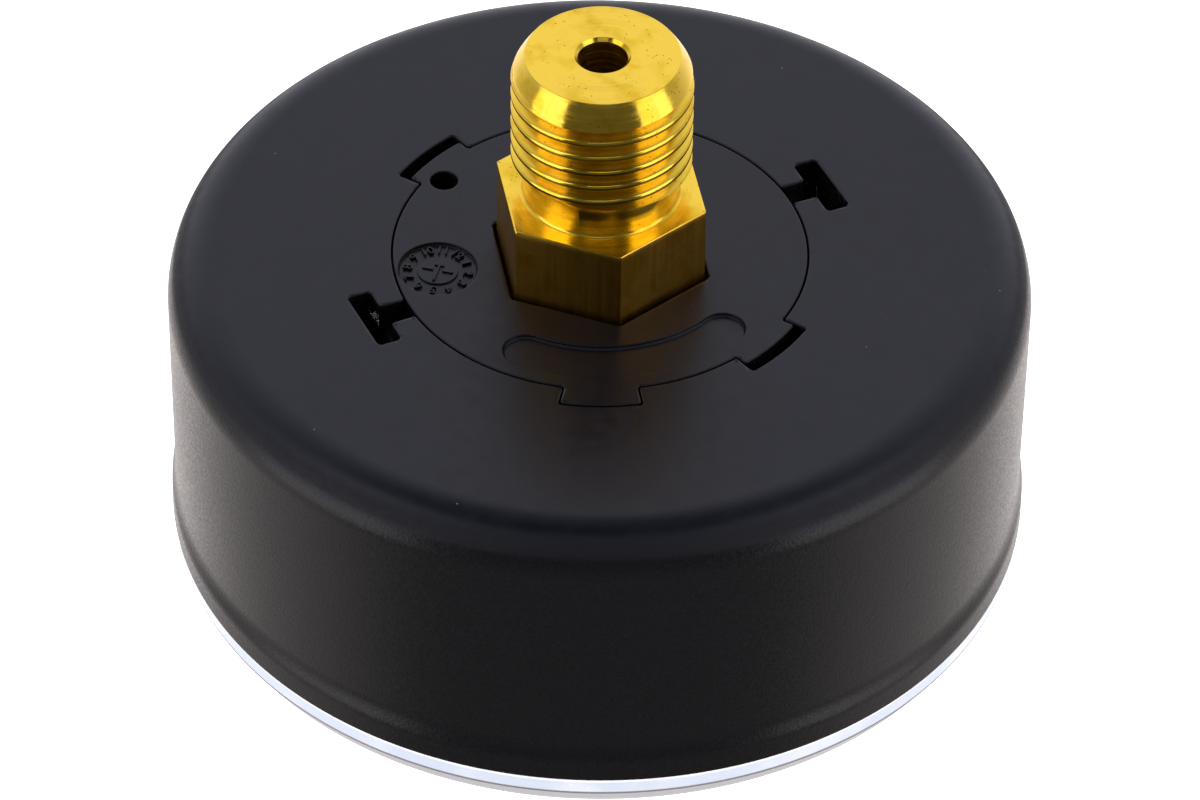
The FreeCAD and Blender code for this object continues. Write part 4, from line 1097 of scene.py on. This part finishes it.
def make_floor():
    """Pale glowing floor just below the window; it can be seen through from underneath.

    It throws no shadow and is hidden from reflections, which see the studio's own
    lower half instead.
    """
    data = bmesh.new()
    half, level = 900.0, -0.03
    corners = [data.verts.new((x, y, level)) for x, y in
               ((-half, -half), (half, -half), (half, half), (-half, half))]
    data.faces.new(corners)
    bmesh.ops.scale(data, vec=(MM, MM, MM), verts=data.verts)
    mesh = bpy.data.meshes.new("floor")
    data.to_mesh(mesh)
    data.free()
    finish = Finish("floor_paper", (0.35, 0.35, 0.35), 0.8, Specular_IOR_Level=0.0)
    finish.put("Emission Color", (1.0, 1.0, 1.0, 1.0))
    finish.put("Emission Strength", 1.8)
    finish.bump((finish.noise(1.5), 0.01))
    clear = finish.tree.nodes.new("ShaderNodeBsdfTransparent")
    side = finish.tree.nodes.new("ShaderNodeNewGeometry")
    mix = finish.tree.nodes.new("ShaderNodeMixShader")
    finish.join(side.outputs["Backfacing"], mix.inputs[0])
    finish.join(finish.shader.outputs[0], mix.inputs[1])
    finish.join(clear.outputs[0], mix.inputs[2])
    finish.join(mix.outputs[0], finish.tree.nodes["Material Output"].inputs["Surface"])
    mesh.materials.append(finish.material)
    floor = bpy.data.objects.new("floor", mesh)
    floor.visible_glossy = False
    floor.visible_shadow = False
    scene.collection.objects.link(floor)


def studio_brightness(tree, angle, stops):
    """Ramp of brightness against the angle from the photographer's side, in degrees."""
    ramp = tree.nodes.new("ShaderNodeValToRGB")
    ramp.color_ramp.interpolation = "LINEAR"
    points = ramp.color_ramp.elements
    while len(points) < len(stops):
        points.new(0.5)
    for point, (degrees, level) in zip(points, stops):
        point.position = degrees / 180.0
        point.color = (level, level, level, 1.0)
    tree.links.new(angle, ramp.inputs[0])
    return ramp.outputs[0]


def make_world():
    """Studio as seen from the gauge: white behind, dark in front, a tall light each side.

    The brightness was set so that the reflections agree with the photograph's. The camera
    itself sees plain white.
    """
    world = bpy.data.worlds.new("studio")
    world.use_nodes = True
    scene.world = world
    tree = world.node_tree
    place = tree.nodes.new("ShaderNodeTexCoord")

    def math_node(operation, first, second=0.0):
        """One step of arithmetic on numbers or node outputs."""
        node = tree.nodes.new("ShaderNodeMath")
        node.operation = operation
        for socket, amount in zip(node.inputs, (first, second)):
            if isinstance(amount, (int, float)):
                socket.default_value = amount
            else:
                tree.links.new(amount, socket)
        return node.outputs[0]

    def along(direction):
        """How far the direction looked in points along another direction."""
        node = tree.nodes.new("ShaderNodeVectorMath")
        node.operation = "DOT_PRODUCT"
        node.inputs[1].default_value = direction
        tree.links.new(place.outputs["Generated"], node.inputs[0])
        return node.outputs["Value"]

    def window(source, low, high, at_low, at_high):
        """Maps a range of a value to another range, clamped and eased."""
        node = tree.nodes.new("ShaderNodeMapRange")
        node.interpolation_type = "SMOOTHSTEP"
        for index, amount in enumerate((low, high, at_low, at_high), start=1):
            node.inputs[index].default_value = amount
        tree.links.new(source, node.inputs[0])
        return node.outputs[0]

    front = along((*polar(1.0, CAMERA_HEADING - 180), 0.0))
    side = math_node("ABSOLUTE", along((*polar(1.0, CAMERA_HEADING - 90), 0.0)))
    height = along((0.0, 0.0, 1.0))
    angle = math_node("DIVIDE", math_node("ARCTAN2", side, front), math.pi)
    wall = studio_brightness(tree, angle, [(0, 0.1), (50, 0.1), (76, 0.4), (107, 0.55),
                                           (125, 0.75), (145, 1.0), (180, 1.0)])
    boxes = studio_brightness(tree, angle, [(0, 0.0), (45, 0.0), (47, 1.7), (66, 1.7), (68, 1.3),
                                            (70, 1.7), (87, 1.7), (90, 0.0), (180, 0.0)])
    reach = math_node("MULTIPLY", window(height, -0.5, -0.4, 0.0, 1.0),
                      window(height, 0.82, 0.88, 1.0, 0.0))
    ceiling = math_node("MULTIPLY", wall, window(height, 0.8, 0.96, 1.0, 0.25))
    table = math_node("MULTIPLY", ceiling, window(height, -0.1, -0.5, 1.0, 1.35))
    light = math_node("MAXIMUM", table, math_node("MULTIPLY", boxes, reach))
    rays = tree.nodes.new("ShaderNodeLightPath")
    back = tree.nodes["Background"]
    tree.links.new(math_node("MAXIMUM", light, rays.outputs["Is Camera Ray"]),
                   back.inputs["Strength"])
    tone = tree.nodes.new("ShaderNodeMix")
    tone.data_type = "RGBA"
    tone.inputs[6].default_value = (0.97, 0.98, 1.1, 1.0)
    tone.inputs[7].default_value = (1.0, 0.93, 0.91, 1.0)
    tree.links.new(window(height, -0.05, -0.4, 0.0, 1.0), tone.inputs[0])
    tree.links.new(tone.outputs[2], back.inputs["Color"])


def make_light():
    """One soft lamp above the photographer, for the glints along turned edges."""
    lamp = bpy.data.lights.new("softbox", "AREA")
    lamp.shape = "RECTANGLE"
    lamp.size = 0.5
    lamp.size_y = 0.12
    lamp.energy = 0.25
    holder = bpy.data.objects.new("softbox", lamp)
    scene.collection.objects.link(holder)
    rise, distance = math.radians(58), 1.0
    place = Vector((*polar(math.cos(rise) * distance, CAMERA_HEADING - 180),
                    math.sin(rise) * distance))
    aim = Vector((0, 0, 0.03)) - place
    holder.matrix_world = (Matrix.Translation(place)
                           @ aim.to_track_quat("-Z", "Y").to_matrix().to_4x4())


# ---------------------------------------------------------------- build

make_case()
make_case_hooks()
make_insert()
make_date_wheel()
make_stem()
make_socket_block()
make_window()
make_dial()
make_dial_print()
make_pointer()
make_tube()
make_hairspring()
finish_cad_nodes()
make_camera()
make_floor()
make_world()
make_light()
scene.view_settings.view_transform = "Standard"
